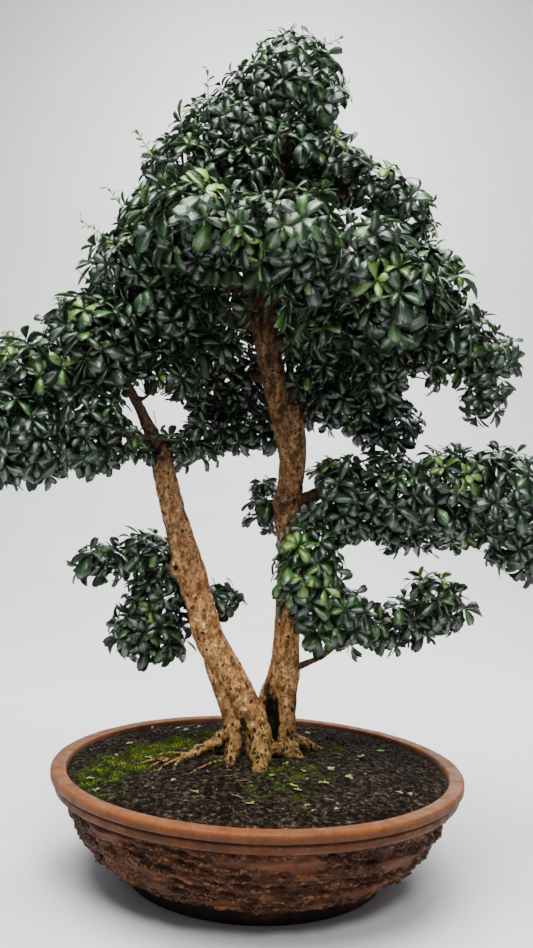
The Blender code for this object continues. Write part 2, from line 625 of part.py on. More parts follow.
def ease_apart(mesh):
    """Moves vertices that share one place a little towards their own neighbours, so no two folds touch."""
    shape = bmesh.new()
    shape.from_mesh(mesh)
    bmesh.ops.triangulate(shape, faces=shape.faces)
    tree = KDTree(len(shape.verts))
    for index, vertex in enumerate(shape.verts):
        tree.insert(vertex.co, index)
    tree.balance()
    moves = {}
    for vertex in shape.verts:
        if len(tree.find_range(vertex.co, TOUCH)) > 1:
            around = [edge.other_vert(vertex).co for edge in vertex.link_edges]
            middle = sum(around, Vector()) / len(around)
            moves[vertex] = EASE * (middle - vertex.co).normalized()
    for vertex, move in moves.items():
        vertex.co += move
    shape.to_mesh(mesh)
    shape.free()


def is_sound(mesh):
    """Whether the mesh is closed and nowhere touches or crosses itself."""
    shape = bmesh.new()
    shape.from_mesh(mesh)
    bmesh.ops.remove_doubles(shape, verts=shape.verts, dist=TOUCH)
    bmesh.ops.triangulate(shape, faces=shape.faces)
    closed = all(element.is_manifold for element in [*shape.edges, *shape.verts])
    shape.faces.ensure_lookup_table()
    tree = BVHTree.FromBMesh(shape)
    crossed = any(not set(shape.faces[one].verts) & set(shape.faces[other].verts)
                  for one, other in tree.overlap(tree))
    shape.free()
    return closed and not crossed


def make_pad(pad, draw, collection, wood_hole):
    """A pad's leafy masses, joined and cut clear of the wood."""
    pieces = new_collection(pad + "_pieces")
    masses = [leafy_mass(f"{pad}_{index}", pad, ellipsoid, draw, pieces)
              for index, ellipsoid in enumerate(PADS[pad])]
    foliage = masses[0]
    pieces.objects.unlink(foliage)
    collection.objects.link(foliage)
    foliage.name = "foliage_" + pad
    necks(pad, pieces)
    boolean(foliage, pieces, "UNION", crosses_itself=True)
    apply_all(foliage)
    boolean(foliage, wood_hole, "DIFFERENCE", "MANIFOLD")
    apply_all(foliage)
    remove_collection(pieces)
    ease_apart(foliage.data)
    keep_largest_shell(foliage)
    return foliage


def make_pads(collection, wood_hole, finish):
    """One object for each pad, its leaves drawn again until the mesh is sound."""
    for number, pad in enumerate(PADS):
        for turn in range(MOST_DRAWS):
            draw = random.Random(SEED + MOST_DRAWS * number + turn)
            foliage = make_pad(pad, draw, collection, wood_hole)
            if is_sound(foliage.data):
                break
            bpy.data.objects.remove(foliage, do_unlink=True)
        else:
            raise RuntimeError(f"no sound mesh for the pad {pad}")
        foliage.data.materials.clear()
        foliage.data.materials.append(finish)


def main():
    clear_scene()
    bonsai = new_collection("fukien_tea_bonsai")
    cutters = new_collection("cutters")
    clay = material("fired clay", CLAY, 0.75)
    earth = material("potting soil", SOIL, 0.95)
    bark = material("bark", BARK, 0.8)
    leaf = material("leaf", LEAF, 0.35)
    plastic = material("mesh plastic", MESH_PLASTIC, 0.6)

    pot = make_pot(bonsai, cutters)
    pot.data.materials.append(clay)
    smooth_shade(pot)

    wood = make_wood("wood", bonsai)
    wood.data.materials.append(bark)
    smooth_shade(wood)
    wood_hole = make_wood("wood_hole", cutters, CLEARANCE)
    wood_hole.hide_render = True
    wood_hole.display_type = "WIRE"

    soil = make_soil(bonsai)
    boolean(soil, wood_hole, "DIFFERENCE")
    for screen, place in make_screens(bonsai, plastic):
        room = bmesh.new()
        side = SCREEN_SIDE + 2 * CLEARANCE
        size = Matrix.Diagonal((side, side, SCREEN_ROOM, 1))
        bmesh.ops.create_cube(room, size=1.0, matrix=place @ size)
        mesh = bpy.data.meshes.new(screen.name + "_room")
        room.to_mesh(mesh)
        room.free()
        cutter = new_object(mesh.name, mesh, cutters)
        cutter.hide_render = True
        cutter.display_type = "WIRE"
        boolean(soil, cutter, "DIFFERENCE")
    apply_all(soil)
    soil.data.materials.clear()
    soil.data.materials.append(earth)
    smooth_shade(soil)

    make_pads(bonsai, wood_hole, leaf)


main()
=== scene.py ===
import math
import random

import bmesh
import bpy
import numpy as np
from mathutils import Matrix, Vector, noise
from mathutils.kdtree import KDTree


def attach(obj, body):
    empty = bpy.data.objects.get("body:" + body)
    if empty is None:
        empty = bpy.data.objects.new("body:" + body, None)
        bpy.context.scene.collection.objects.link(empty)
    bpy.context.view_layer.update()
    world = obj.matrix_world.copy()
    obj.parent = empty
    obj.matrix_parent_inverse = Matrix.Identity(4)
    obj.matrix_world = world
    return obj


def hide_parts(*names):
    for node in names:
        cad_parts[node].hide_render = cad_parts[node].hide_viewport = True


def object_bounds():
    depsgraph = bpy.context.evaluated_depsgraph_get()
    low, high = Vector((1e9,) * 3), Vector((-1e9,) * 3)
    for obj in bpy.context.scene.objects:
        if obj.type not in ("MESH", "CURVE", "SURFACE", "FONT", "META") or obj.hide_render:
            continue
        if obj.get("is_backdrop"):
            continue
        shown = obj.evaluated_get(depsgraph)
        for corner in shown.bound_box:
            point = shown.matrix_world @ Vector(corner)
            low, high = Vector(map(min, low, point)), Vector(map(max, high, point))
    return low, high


# A fukien tea bonsai in a round clay pot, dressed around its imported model.
# Metres, +Z up. The tree's front faces -Y, and the pot stands on z = 0.

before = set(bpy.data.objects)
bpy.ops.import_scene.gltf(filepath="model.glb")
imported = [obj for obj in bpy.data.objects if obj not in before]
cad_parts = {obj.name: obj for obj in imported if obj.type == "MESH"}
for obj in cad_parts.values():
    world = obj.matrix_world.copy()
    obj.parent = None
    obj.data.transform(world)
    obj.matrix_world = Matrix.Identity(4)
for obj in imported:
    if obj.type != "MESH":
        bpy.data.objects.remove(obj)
cad_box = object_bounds()
SEED = 11

# Pot and soil, as in the part's source
RIM_RADIUS = 0.300
RIM_HEIGHT = 0.155
MOUTH_RADIUS = 0.278
BASE_RADIUS = 0.188
FLOOR_HEIGHT = 0.024
ROCK_RELIEF = 0.006
DRAIN_RADIUS = 0.015
DRAIN_CIRCLE = 0.095
DRAIN_ANGLES = (0, 90, 180)
CHANNEL_LENGTH = 0.16
CHANNEL_WIDTH = 0.016
CHANNEL_DEPTH = 0.006
SOIL_EDGE_HEIGHT = 0.149
SOIL_CROWN_HEIGHT = 0.168
SOIL_BOTTOM = 0.0268
# How finely the pieces are divided, and how many small ones lie on the soil
POT_SEGMENTS = 580
SOIL_SEGMENTS = 260
SOIL_RINGS = 98
TRUNK_VOXEL = 0.0020
BRANCH_VOXEL = 0.0030
CRUMB_COUNT = 2300
STRAW_COUNT = 42
MOSS_TUFTS = 4600
GOLDEN_TURN = 2.399963
# The bowl's outside, as (radius, height)
BOWL = [(0.2690, 0.1240), (0.2710, 0.1080), (0.2680, 0.0910), (0.2600, 0.0740), (0.2490, 0.0570),
        (0.2320, 0.0410), (0.2080, 0.0260)]

# Trunks, roots and branches: (x, y, z, radius) along each, from the root end up. The number is the sides.
TRUNKS = {
    "left_trunk": (10, [(0.004, -0.016, 0.140, 0.0150), (0.002, -0.020, 0.170, 0.0190),
        (-0.003, -0.020, 0.205, 0.0200), (-0.024, -0.019, 0.253, 0.0195), (-0.044, -0.016, 0.290, 0.0205),
        (-0.071, -0.010, 0.333, 0.0225), (-0.091, -0.005, 0.391, 0.0215), (-0.109, 0.000, 0.442, 0.0225),
        (-0.126, 0.000, 0.493, 0.0195), (-0.145, 0.000, 0.553, 0.0170), (-0.157, 0.000, 0.598, 0.0165),
        (-0.164, 0.000, 0.628, 0.0120)]),
    "left_trunk_lobe": (6, [(-0.040, -0.014, 0.165, 0.0100), (-0.042, -0.014, 0.215, 0.0125),
        (-0.053, -0.012, 0.252, 0.0125), (-0.066, -0.010, 0.288, 0.0120),
        (-0.078, -0.008, 0.335, 0.0110)]),
    "right_trunk": (10, [(0.040, 0.010, 0.140, 0.0130), (0.040, 0.010, 0.165, 0.0155),
        (0.038, 0.012, 0.205, 0.0165), (0.036, 0.016, 0.250, 0.0195), (0.036, 0.018, 0.285, 0.0225),
        (0.036, 0.020, 0.325, 0.0205), (0.036, 0.020, 0.393, 0.0185), (0.035, 0.020, 0.469, 0.0180),
        (0.031, 0.020, 0.535, 0.0220), (0.032, 0.020, 0.575, 0.0180), (0.031, 0.020, 0.612, 0.0180),
        (0.022, 0.020, 0.662, 0.0210), (0.006, 0.020, 0.715, 0.0200), (-0.007, 0.020, 0.766, 0.0190),
        (-0.018, 0.020, 0.812, 0.0175), (-0.028, 0.020, 0.865, 0.0160), (-0.026, 0.020, 0.930, 0.0135),
        (-0.010, 0.020, 1.005, 0.0115), (0.004, 0.025, 1.085, 0.0095), (0.007, 0.030, 1.160, 0.0060)]),
    "right_trunk_lobe": (6, [(0.010, 0.006, 0.150, 0.0090), (0.006, 0.010, 0.205, 0.0095),
        (0.006, 0.014, 0.240, 0.0100), (0.020, 0.018, 0.280, 0.0120), (0.030, 0.020, 0.325, 0.0110)]),
}
ROOTS = {
    "front_root": (6, [(0.000, -0.024, 0.205, 0.0170), (0.004, -0.052, 0.182, 0.0135),
        (0.003, -0.086, 0.154, 0.0090)]),
    "middle_root": (6, [(-0.038, -0.018, 0.215, 0.0115), (-0.034, -0.040, 0.190, 0.0100),
        (-0.044, -0.064, 0.156, 0.0075)]),
    "left_root": (6, [(-0.038, -0.014, 0.208, 0.0110), (-0.066, -0.020, 0.183, 0.0090),
        (-0.096, -0.030, 0.170, 0.0078), (-0.128, -0.044, 0.154, 0.0045)]),
    "bridge_root": (6, [(0.000, -0.024, 0.192, 0.0120), (0.024, -0.016, 0.178, 0.0100),
        (0.040, 0.002, 0.168, 0.0100)]),
    "right_root": (6, [(0.040, 0.006, 0.178, 0.0120), (0.076, -0.024, 0.154, 0.0050)]),
    "back_right_root": (6, [(0.040, 0.016, 0.190, 0.0130), (0.078, 0.040, 0.169, 0.0085),
        (0.108, 0.056, 0.152, 0.0050)]),
    "back_root": (6, [(0.004, 0.010, 0.190, 0.0130), (0.010, 0.056, 0.170, 0.0090),
        (0.016, 0.088, 0.152, 0.0050)]),
    "back_left_root": (6, [(-0.036, -0.006, 0.195, 0.0110), (-0.064, 0.030, 0.170, 0.0085),
        (-0.088, 0.056, 0.152, 0.0050)]),
}
BRANCHES = {
    "to_left_lower": (6, [(-0.157, 0.000, 0.600, 0.0130), (-0.195, -0.022, 0.628, 0.0090),
        (-0.252, -0.050, 0.645, 0.0050)]),
    "to_left_upper": (6, [(-0.160, 0.000, 0.612, 0.0120), (-0.190, -0.018, 0.672, 0.0090),
        (-0.236, -0.044, 0.744, 0.0055)]),
    "to_left_low": (6, [(-0.112, 0.004, 0.456, 0.0090), (-0.142, 0.022, 0.452, 0.0060),
        (-0.190, 0.030, 0.450, 0.0040)]),
    "to_right_pad": (8, [(0.034, 0.018, 0.530, 0.0125), (0.068, 0.004, 0.553, 0.0090),
        (0.120, -0.018, 0.558, 0.0065)]),
    "to_front_pad": (6, [(0.040, 0.006, 0.500, 0.0085), (0.050, -0.032, 0.484, 0.0058),
        (0.050, -0.058, 0.460, 0.0045)]),
    "to_right_low": (6, [(0.040, 0.018, 0.284, 0.0085), (0.060, 0.010, 0.298, 0.0058),
        (0.087, 0.004, 0.312, 0.0050), (0.116, 0.000, 0.336, 0.0042), (0.150, -0.008, 0.353, 0.0034)]),
    "to_behind_pad": (6, [(0.028, 0.026, 0.520, 0.0075), (-0.002, 0.062, 0.532, 0.0042)]),
    "to_right_mid": (6, [(0.016, 0.020, 0.662, 0.0125), (0.050, 0.026, 0.692, 0.0090),
        (0.100, 0.032, 0.718, 0.0055)]),
    "to_right_tip": (6, [(-0.010, 0.016, 0.775, 0.0125), (0.046, -0.004, 0.786, 0.0092),
        (0.110, -0.026, 0.772, 0.0072), (0.190, -0.036, 0.752, 0.0056), (0.262, -0.034, 0.742, 0.0044),
        (0.312, -0.030, 0.760, 0.0034)]),
    "to_right_upper": (6, [(-0.020, 0.018, 0.822, 0.0120), (0.060, 0.000, 0.836, 0.0088),
        (0.150, -0.026, 0.850, 0.0066), (0.204, -0.037, 0.862, 0.0050)]),
    "to_front_dome": (6, [(-0.026, 0.016, 0.862, 0.0115), (-0.036, -0.044, 0.880, 0.0082),
        (-0.048, -0.125, 0.897, 0.0046)]),
    "to_front_right": (6, [(-0.022, 0.012, 0.840, 0.0110), (0.026, -0.052, 0.856, 0.0078),
        (0.082, -0.100, 0.876, 0.0044)]),
    "to_upper_left": (6, [(-0.016, 0.020, 0.806, 0.0120), (-0.070, 0.000, 0.817, 0.0090),
        (-0.135, -0.028, 0.819, 0.0055)]),
    "to_back_low": (6, [(0.002, 0.026, 0.728, 0.0110), (-0.034, 0.064, 0.740, 0.0080),
        (-0.066, 0.094, 0.745, 0.0058)]),
    "to_back_mid": (6, [(-0.022, 0.026, 0.846, 0.0110), (-0.002, 0.078, 0.862, 0.0080),
        (0.014, 0.122, 0.875, 0.0056)]),
    "to_back_left": (6, [(-0.026, 0.024, 0.880, 0.0100), (-0.070, 0.062, 0.876, 0.0070),
        (-0.112, 0.088, 0.872, 0.0050)]),
    "to_back_right": (6, [(-0.008, 0.024, 0.780, 0.0100), (0.050, 0.070, 0.786, 0.0074),
        (0.098, 0.102, 0.791, 0.0052)]),
    "to_crown_left": (6, [(-0.008, 0.021, 1.016, 0.0080), (-0.050, 0.004, 1.038, 0.0056),
        (-0.086, -0.008, 1.046, 0.0040)]),
    "to_crown_right": (6, [(-0.010, 0.021, 0.998, 0.0085), (0.055, 0.026, 1.012, 0.0060),
        (0.134, 0.030, 1.036, 0.0036)]),
}
# Burls and healed cuts: (x, y, z, radius)
KNOTS = {
    "left_trunk_scar": (-0.124, -0.012, 0.438, 0.0135),
    "left_trunk_head": (-0.158, -0.003, 0.606, 0.0190),
    "right_trunk_burl": (0.021, 0.010, 0.538, 0.0155),
    "base_swelling": (-0.002, -0.028, 0.224, 0.0130),
    "right_trunk_foot": (0.042, 0.002, 0.172, 0.0150),
}

# Each pad of leaves: ellipsoids that its leaf tips reach, as (centre, radii)
PADS = {
    "crown_apex": [
        ((0.000, 0.034, 1.220), (0.078, 0.072, 0.054)), ((-0.010, 0.040, 1.160), (0.112, 0.098, 0.068))],
    "crown_left": [
        ((-0.086, 0.024, 1.110), (0.094, 0.092, 0.068)), ((-0.148, 0.012, 1.048), (0.086, 0.092, 0.068)),
        ((-0.080, -0.022, 1.028), (0.088, 0.076, 0.060))],
    "crown_mid": [
        ((0.082, 0.040, 1.064), (0.088, 0.092, 0.068)), ((0.006, 0.036, 1.076), (0.092, 0.100, 0.072)),
        ((0.012, 0.118, 1.060), (0.098, 0.080, 0.074))],
    "crown_right": [
        ((0.150, 0.034, 1.030), (0.076, 0.076, 0.052)), ((0.206, 0.024, 0.992), (0.056, 0.060, 0.060))],
    "front_dome": [
        ((-0.094, -0.126, 0.914), (0.108, 0.096, 0.078)),
        ((0.006, -0.150, 0.904), (0.104, 0.098, 0.070))],
    "front_right": [
        ((0.100, -0.106, 0.892), (0.096, 0.092, 0.080)), ((0.158, -0.100, 0.828), (0.092, 0.090, 0.078))],
    "upper_left": [
        ((-0.206, -0.046, 0.882), (0.092, 0.096, 0.080)),
        ((-0.170, -0.036, 0.818), (0.098, 0.092, 0.082)),
        ((-0.176, -0.042, 0.950), (0.078, 0.082, 0.064))],
    "left_upper": [
        ((-0.250, -0.044, 0.766), (0.106, 0.100, 0.080)),
        ((-0.334, -0.048, 0.714), (0.094, 0.092, 0.066))],
    "left_lower": [
        ((-0.354, -0.050, 0.634), (0.090, 0.096, 0.078)),
        ((-0.270, -0.050, 0.648), (0.090, 0.092, 0.072))],
    "left_inner": [
        ((-0.180, -0.014, 0.700), (0.084, 0.082, 0.084)),
        ((-0.150, 0.034, 0.626), (0.066, 0.066, 0.060))],
    "right_upper": [
        ((0.226, -0.036, 0.868), (0.086, 0.086, 0.076)), ((0.270, -0.030, 0.798), (0.080, 0.082, 0.076))],
    "right_tip": [
        ((0.318, -0.030, 0.768), (0.060, 0.058, 0.046)), ((0.322, -0.030, 0.712), (0.044, 0.046, 0.048))],
    "right_mid": [
        ((0.180, -0.034, 0.752), (0.092, 0.086, 0.072)), ((0.122, 0.032, 0.722), (0.090, 0.082, 0.080)),
        ((0.182, 0.040, 0.666), (0.066, 0.062, 0.048))],
    "back_low": [
        ((-0.098, 0.118, 0.746), (0.110, 0.094, 0.088)), ((-0.062, 0.104, 0.656), (0.088, 0.066, 0.056))],
    "back_mid": [
        ((0.022, 0.158, 0.880), (0.112, 0.098, 0.090)), ((0.008, 0.124, 0.970), (0.104, 0.088, 0.078))],
    "back_left": [
        ((-0.152, 0.104, 0.874), (0.104, 0.098, 0.092))],
    "back_right": [
        ((0.146, 0.126, 0.804), (0.104, 0.098, 0.088)), ((0.062, 0.118, 0.740), (0.090, 0.078, 0.074))],
    "right_pad": [
        ((0.104, -0.022, 0.545), (0.074, 0.082, 0.068)), ((0.178, -0.030, 0.552), (0.076, 0.090, 0.070)),
        ((0.258, -0.034, 0.556), (0.082, 0.096, 0.078)), ((0.332, -0.042, 0.556), (0.078, 0.092, 0.074)),
        ((0.368, -0.046, 0.500), (0.052, 0.062, 0.054))],
    "behind_pad": [
        ((-0.008, 0.076, 0.536), (0.046, 0.052, 0.050))],
    "front_pad": [
        ((0.056, -0.068, 0.444), (0.056, 0.052, 0.076)), ((0.092, -0.054, 0.386), (0.062, 0.056, 0.048))],
    "right_low_pad": [
        ((0.160, -0.010, 0.354), (0.060, 0.048, 0.038)), ((0.204, -0.010, 0.372), (0.054, 0.050, 0.040)),
        ((0.244, -0.010, 0.396), (0.056, 0.054, 0.048))],
    "left_low_pad": [
        ((-0.254, 0.020, 0.436), (0.050, 0.050, 0.036)), ((-0.202, 0.032, 0.450), (0.060, 0.058, 0.042)),
        ((-0.166, 0.046, 0.390), (0.068, 0.064, 0.050)), ((-0.182, 0.034, 0.332), (0.062, 0.058, 0.044)),
        ((-0.090, 0.060, 0.388), (0.044, 0.040, 0.030))],
}


CAMERA_PLACE = Vector((0.0, -1.352, 0.528))

# Finishes


def noise_map(nodes, links, place, scale, detail=4.0, roughness=0.55, name="noise"):
    found = nodes.new("ShaderNodeTexNoise")
    found.label = name
    found.inputs["Scale"].default_value = scale
    found.inputs["Detail"].default_value = detail
    found.inputs["Roughness"].default_value = roughness
    links.new(place, found.inputs["Vector"])
    return found.outputs["Fac"]


def ramp(nodes, links, value, stops):
    """A colour for each value, through stops of (position, colour)."""
    found = nodes.new("ShaderNodeValToRGB")
    elements = found.color_ramp.elements
    while len(elements) < len(stops):
        elements.new(1.0)
    for element, (position, colour) in zip(elements, stops):
        element.position = position
        element.color = (*colour, 1.0) if hasattr(colour, "__len__") else (colour, colour, colour, 1.0)
    links.new(value, found.inputs["Fac"])
    return found.outputs["Color"]


def mixed(nodes, links, share, one, other, kind="MIX"):
    """Colour one turning into the other by share, each a socket or a fixed colour."""
    found = nodes.new("ShaderNodeMix")
    found.data_type = "RGBA"
    found.blend_type = kind
    for socket, value in ((found.inputs[0], share), (found.inputs[6], one), (found.inputs[7], other)):
        if isinstance(value, bpy.types.NodeSocket):
            links.new(value, socket)
        elif hasattr(value, "__len__"):
            socket.default_value = (*value, 1.0)
        else:
            socket.default_value = value
    return found.outputs[2]


def reckoned(nodes, links, operation, one, other, third=None):
    """The sum, product or other reckoning of two values."""
    found = nodes.new("ShaderNodeMath")
    found.operation = operation
    for socket, value in zip(found.inputs, (one, other, third)):
        if isinstance(value, bpy.types.NodeSocket):
            links.new(value, socket)
        elif value is not None:
            socket.default_value = value
    return found.outputs[0]


def attribute(nodes, name):
    found = nodes.new("ShaderNodeAttribute")
    found.attribute_name = name
    return found.outputs["Fac"]


def bump(nodes, links, height, distance, strength, under=None):
    found = nodes.new("ShaderNodeBump")
    found.inputs["Distance"].default_value = distance
    found.inputs["Strength"].default_value = strength
    links.new(height, found.inputs["Height"])
    if under:
        links.new(under, found.inputs["Normal"])
    return found.outputs["Normal"]


def stretched(nodes, links, scale):
    """The object's own coordinates, scaled on each axis."""
    places = nodes.new("ShaderNodeTexCoord")
    mapping = nodes.new("ShaderNodeMapping")
    mapping.inputs["Scale"].default_value = scale
    links.new(places.outputs["Object"], mapping.inputs["Vector"])
    return mapping.outputs["Vector"]


def new_finish(name, roughness=0.6, specular=0.5):
    made = bpy.data.materials.new(name)
    made.use_nodes = True
    shader = made.node_tree.nodes["Principled BSDF"]
    shader.inputs["Roughness"].default_value = roughness
    shader.inputs["Specular IOR Level"].default_value = specular
    return made, made.node_tree.nodes, made.node_tree.links, shader


def clay_finish():
    """Fired clay: a paler rim, brown split stone with painted shade in its crevices and cracks and pale dust and a
    painted highlight on its ridges, and a nearly black foot.
    """
    made, nodes, links, shader = new_finish("fired clay", 0.62, 0.22)
    place = stretched(nodes, links, (1, 1, 1))
    height = nodes.new("ShaderNodeSeparateXYZ")
    links.new(place, height.inputs[0])
    share = reckoned(nodes, links, "DIVIDE", height.outputs["Z"], 0.16)
    wavy = reckoned(nodes, links, "MULTIPLY_ADD", noise_map(nodes, links, place, 22, 3), 0.03, share)
    body = ramp(nodes, links, wavy, [
        (0.02, (0.016, 0.008, 0.006)), (0.165, (0.020, 0.009, 0.006)), (0.200, (0.072, 0.021, 0.005)),
        (0.50, (0.092, 0.026, 0.006)), (0.77, (0.084, 0.024, 0.005)), (0.82, (0.078, 0.023, 0.005)),
        (0.90, (0.080, 0.023, 0.004)), (0.945, (0.105, 0.030, 0.006)), (0.972, (0.190, 0.058, 0.012))])
    mottled = ramp(nodes, links, noise_map(nodes, links, place, 34, 6), [(0.30, 0.66), (0.55, 1.0), (0.78, 1.25)])
    body = mixed(nodes, links, 1.0, body, mottled, "MULTIPLY")
    grain = ramp(nodes, links, noise_map(nodes, links, place, 210, 5, 0.7), [(0.38, 0.40), (0.50, 0.95), (0.62, 1.6)])
    body = mixed(nodes, links, ramp(nodes, links, attribute(nodes, "rough"), [(0.0, 0.25), (1.0, 1.0)]), body,
                 mixed(nodes, links, 1.0, body, grain, "MULTIPLY"))
    # Paler on the ridges and edges: dust, and a painted highlight.
    dust_and_highlight = ramp(nodes, links, attribute(nodes, "ridge"), [(0.12, 0.0), (0.52, 1.0)])
    speck = ramp(nodes, links, noise_map(nodes, links, stretched(nodes, links, (1, 1, 1.5)), 230, 5, 0.7), [
        (0.47, 0.0), (0.57, 0.85)])
    dust_and_highlight = mixed(nodes, links, 1.0, dust_and_highlight, speck, "MULTIPLY")
    body = mixed(nodes, links, dust_and_highlight, body, (0.360, 0.150, 0.058))
    lumps = nodes.new("ShaderNodeTexVoronoi")
    lumps.feature = "DISTANCE_TO_EDGE"
    lumps.inputs["Scale"].default_value = 82
    wander = nodes.new("ShaderNodeTexNoise")
    wander.inputs["Scale"].default_value = 60
    links.new(place, wander.inputs["Vector"])
    bent = nodes.new("ShaderNodeMix")
    bent.data_type = "VECTOR"
    bent.inputs[0].default_value = 0.022
    links.new(stretched(nodes, links, (0.8, 0.8, 1.7)), bent.inputs[4])
    links.new(wander.outputs["Color"], bent.inputs[5])
    links.new(bent.outputs[1], lumps.inputs["Vector"])
    # Painted shade in the cracks between the stone's lumps, where the bump sinks.
    cracks = reckoned(nodes, links, "MULTIPLY", attribute(nodes, "rough"),
                      ramp(nodes, links, lumps.outputs["Distance"], [(0.02, 0.85), (0.16, 0.0)]))
    body = mixed(nodes, links, cracks, body, (0.012, 0.005, 0.003))
    # Painted shade in the crevices, the groove and under the rim, from the crevice attribute.
    body = mixed(nodes, links, attribute(nodes, "crevice"), body, (0.012, 0.006, 0.004))
    stain = ramp(nodes, links, noise_map(nodes, links, place, 9, 5, 0.6), [(0.54, 0.0), (0.70, 0.45)])
    body = mixed(nodes, links, stain, body, (0.190, 0.068, 0.024))
    # Near-black patches along the groove under the rim.
    body = mixed(nodes, links, attribute(nodes, "groove_dark"), body, (0.008, 0.006, 0.006))
    links.new(body, shader.inputs["Base Color"])
    links.new(ramp(nodes, links, noise_map(nodes, links, place, 60, 5), [(0.3, 0.42), (0.7, 0.75)]),
              shader.inputs["Roughness"])
    coarse = bump(nodes, links, noise_map(nodes, links, stretched(nodes, links, (1, 1, 1.8)), 170, 7, 0.72),
                  0.0034, 0.9, bump(nodes, links, ramp(nodes, links, lumps.outputs["Distance"], [
                      (0.0, 0.0), (0.35, 1.0)]), 0.0030, 0.9))
    fine = bump(nodes, links, noise_map(nodes, links, place, 520, 3), 0.0004, 0.4)
    shares = nodes.new("ShaderNodeMix")
    shares.data_type = "VECTOR"
    links.new(attribute(nodes, "rough"), shares.inputs[0])
    links.new(fine, shares.inputs[4])
    links.new(coarse, shares.inputs[5])
    links.new(shares.outputs[1], shader.inputs["Normal"])
    return made


def soil_finish(name="potting soil"):
    """Dark crumbly soil, greener where moss and algae grow."""
    made, nodes, links, shader = new_finish(name, 0.95, 0.05)
    place = stretched(nodes, links, (1, 1, 1))
    earth = ramp(nodes, links, noise_map(nodes, links, place, 135, 7, 0.72), [
        (0.36, (0.002, 0.0015, 0.001)), (0.48, (0.009, 0.0065, 0.0045)), (0.57, (0.048, 0.034, 0.022)),
        (0.70, (0.260, 0.190, 0.125))])
    patches = ramp(nodes, links, noise_map(nodes, links, place, 12, 4), [(0.35, 0.55), (0.70, 1.40)])
    earth = mixed(nodes, links, 1.0, earth, patches, "MULTIPLY")
    green = ramp(nodes, links, noise_map(nodes, links, place, 210, 4), [
        (0.30, (0.008, 0.015, 0.003)), (0.70, (0.055, 0.085, 0.010))])
    grown = ramp(nodes, links, attribute(nodes, "mossy"), [(0.05, 0.0), (0.9, 0.9)])
    earth = mixed(nodes, links, grown, earth, green)
    links.new(earth, shader.inputs["Base Color"])
    rough = bump(nodes, links, noise_map(nodes, links, place, 150, 8, 0.8), 0.0045, 1.0)
    fine = bump(nodes, links, noise_map(nodes, links, place, 620, 4), 0.0008, 0.7, rough)
    links.new(fine, shader.inputs["Normal"])
    return made


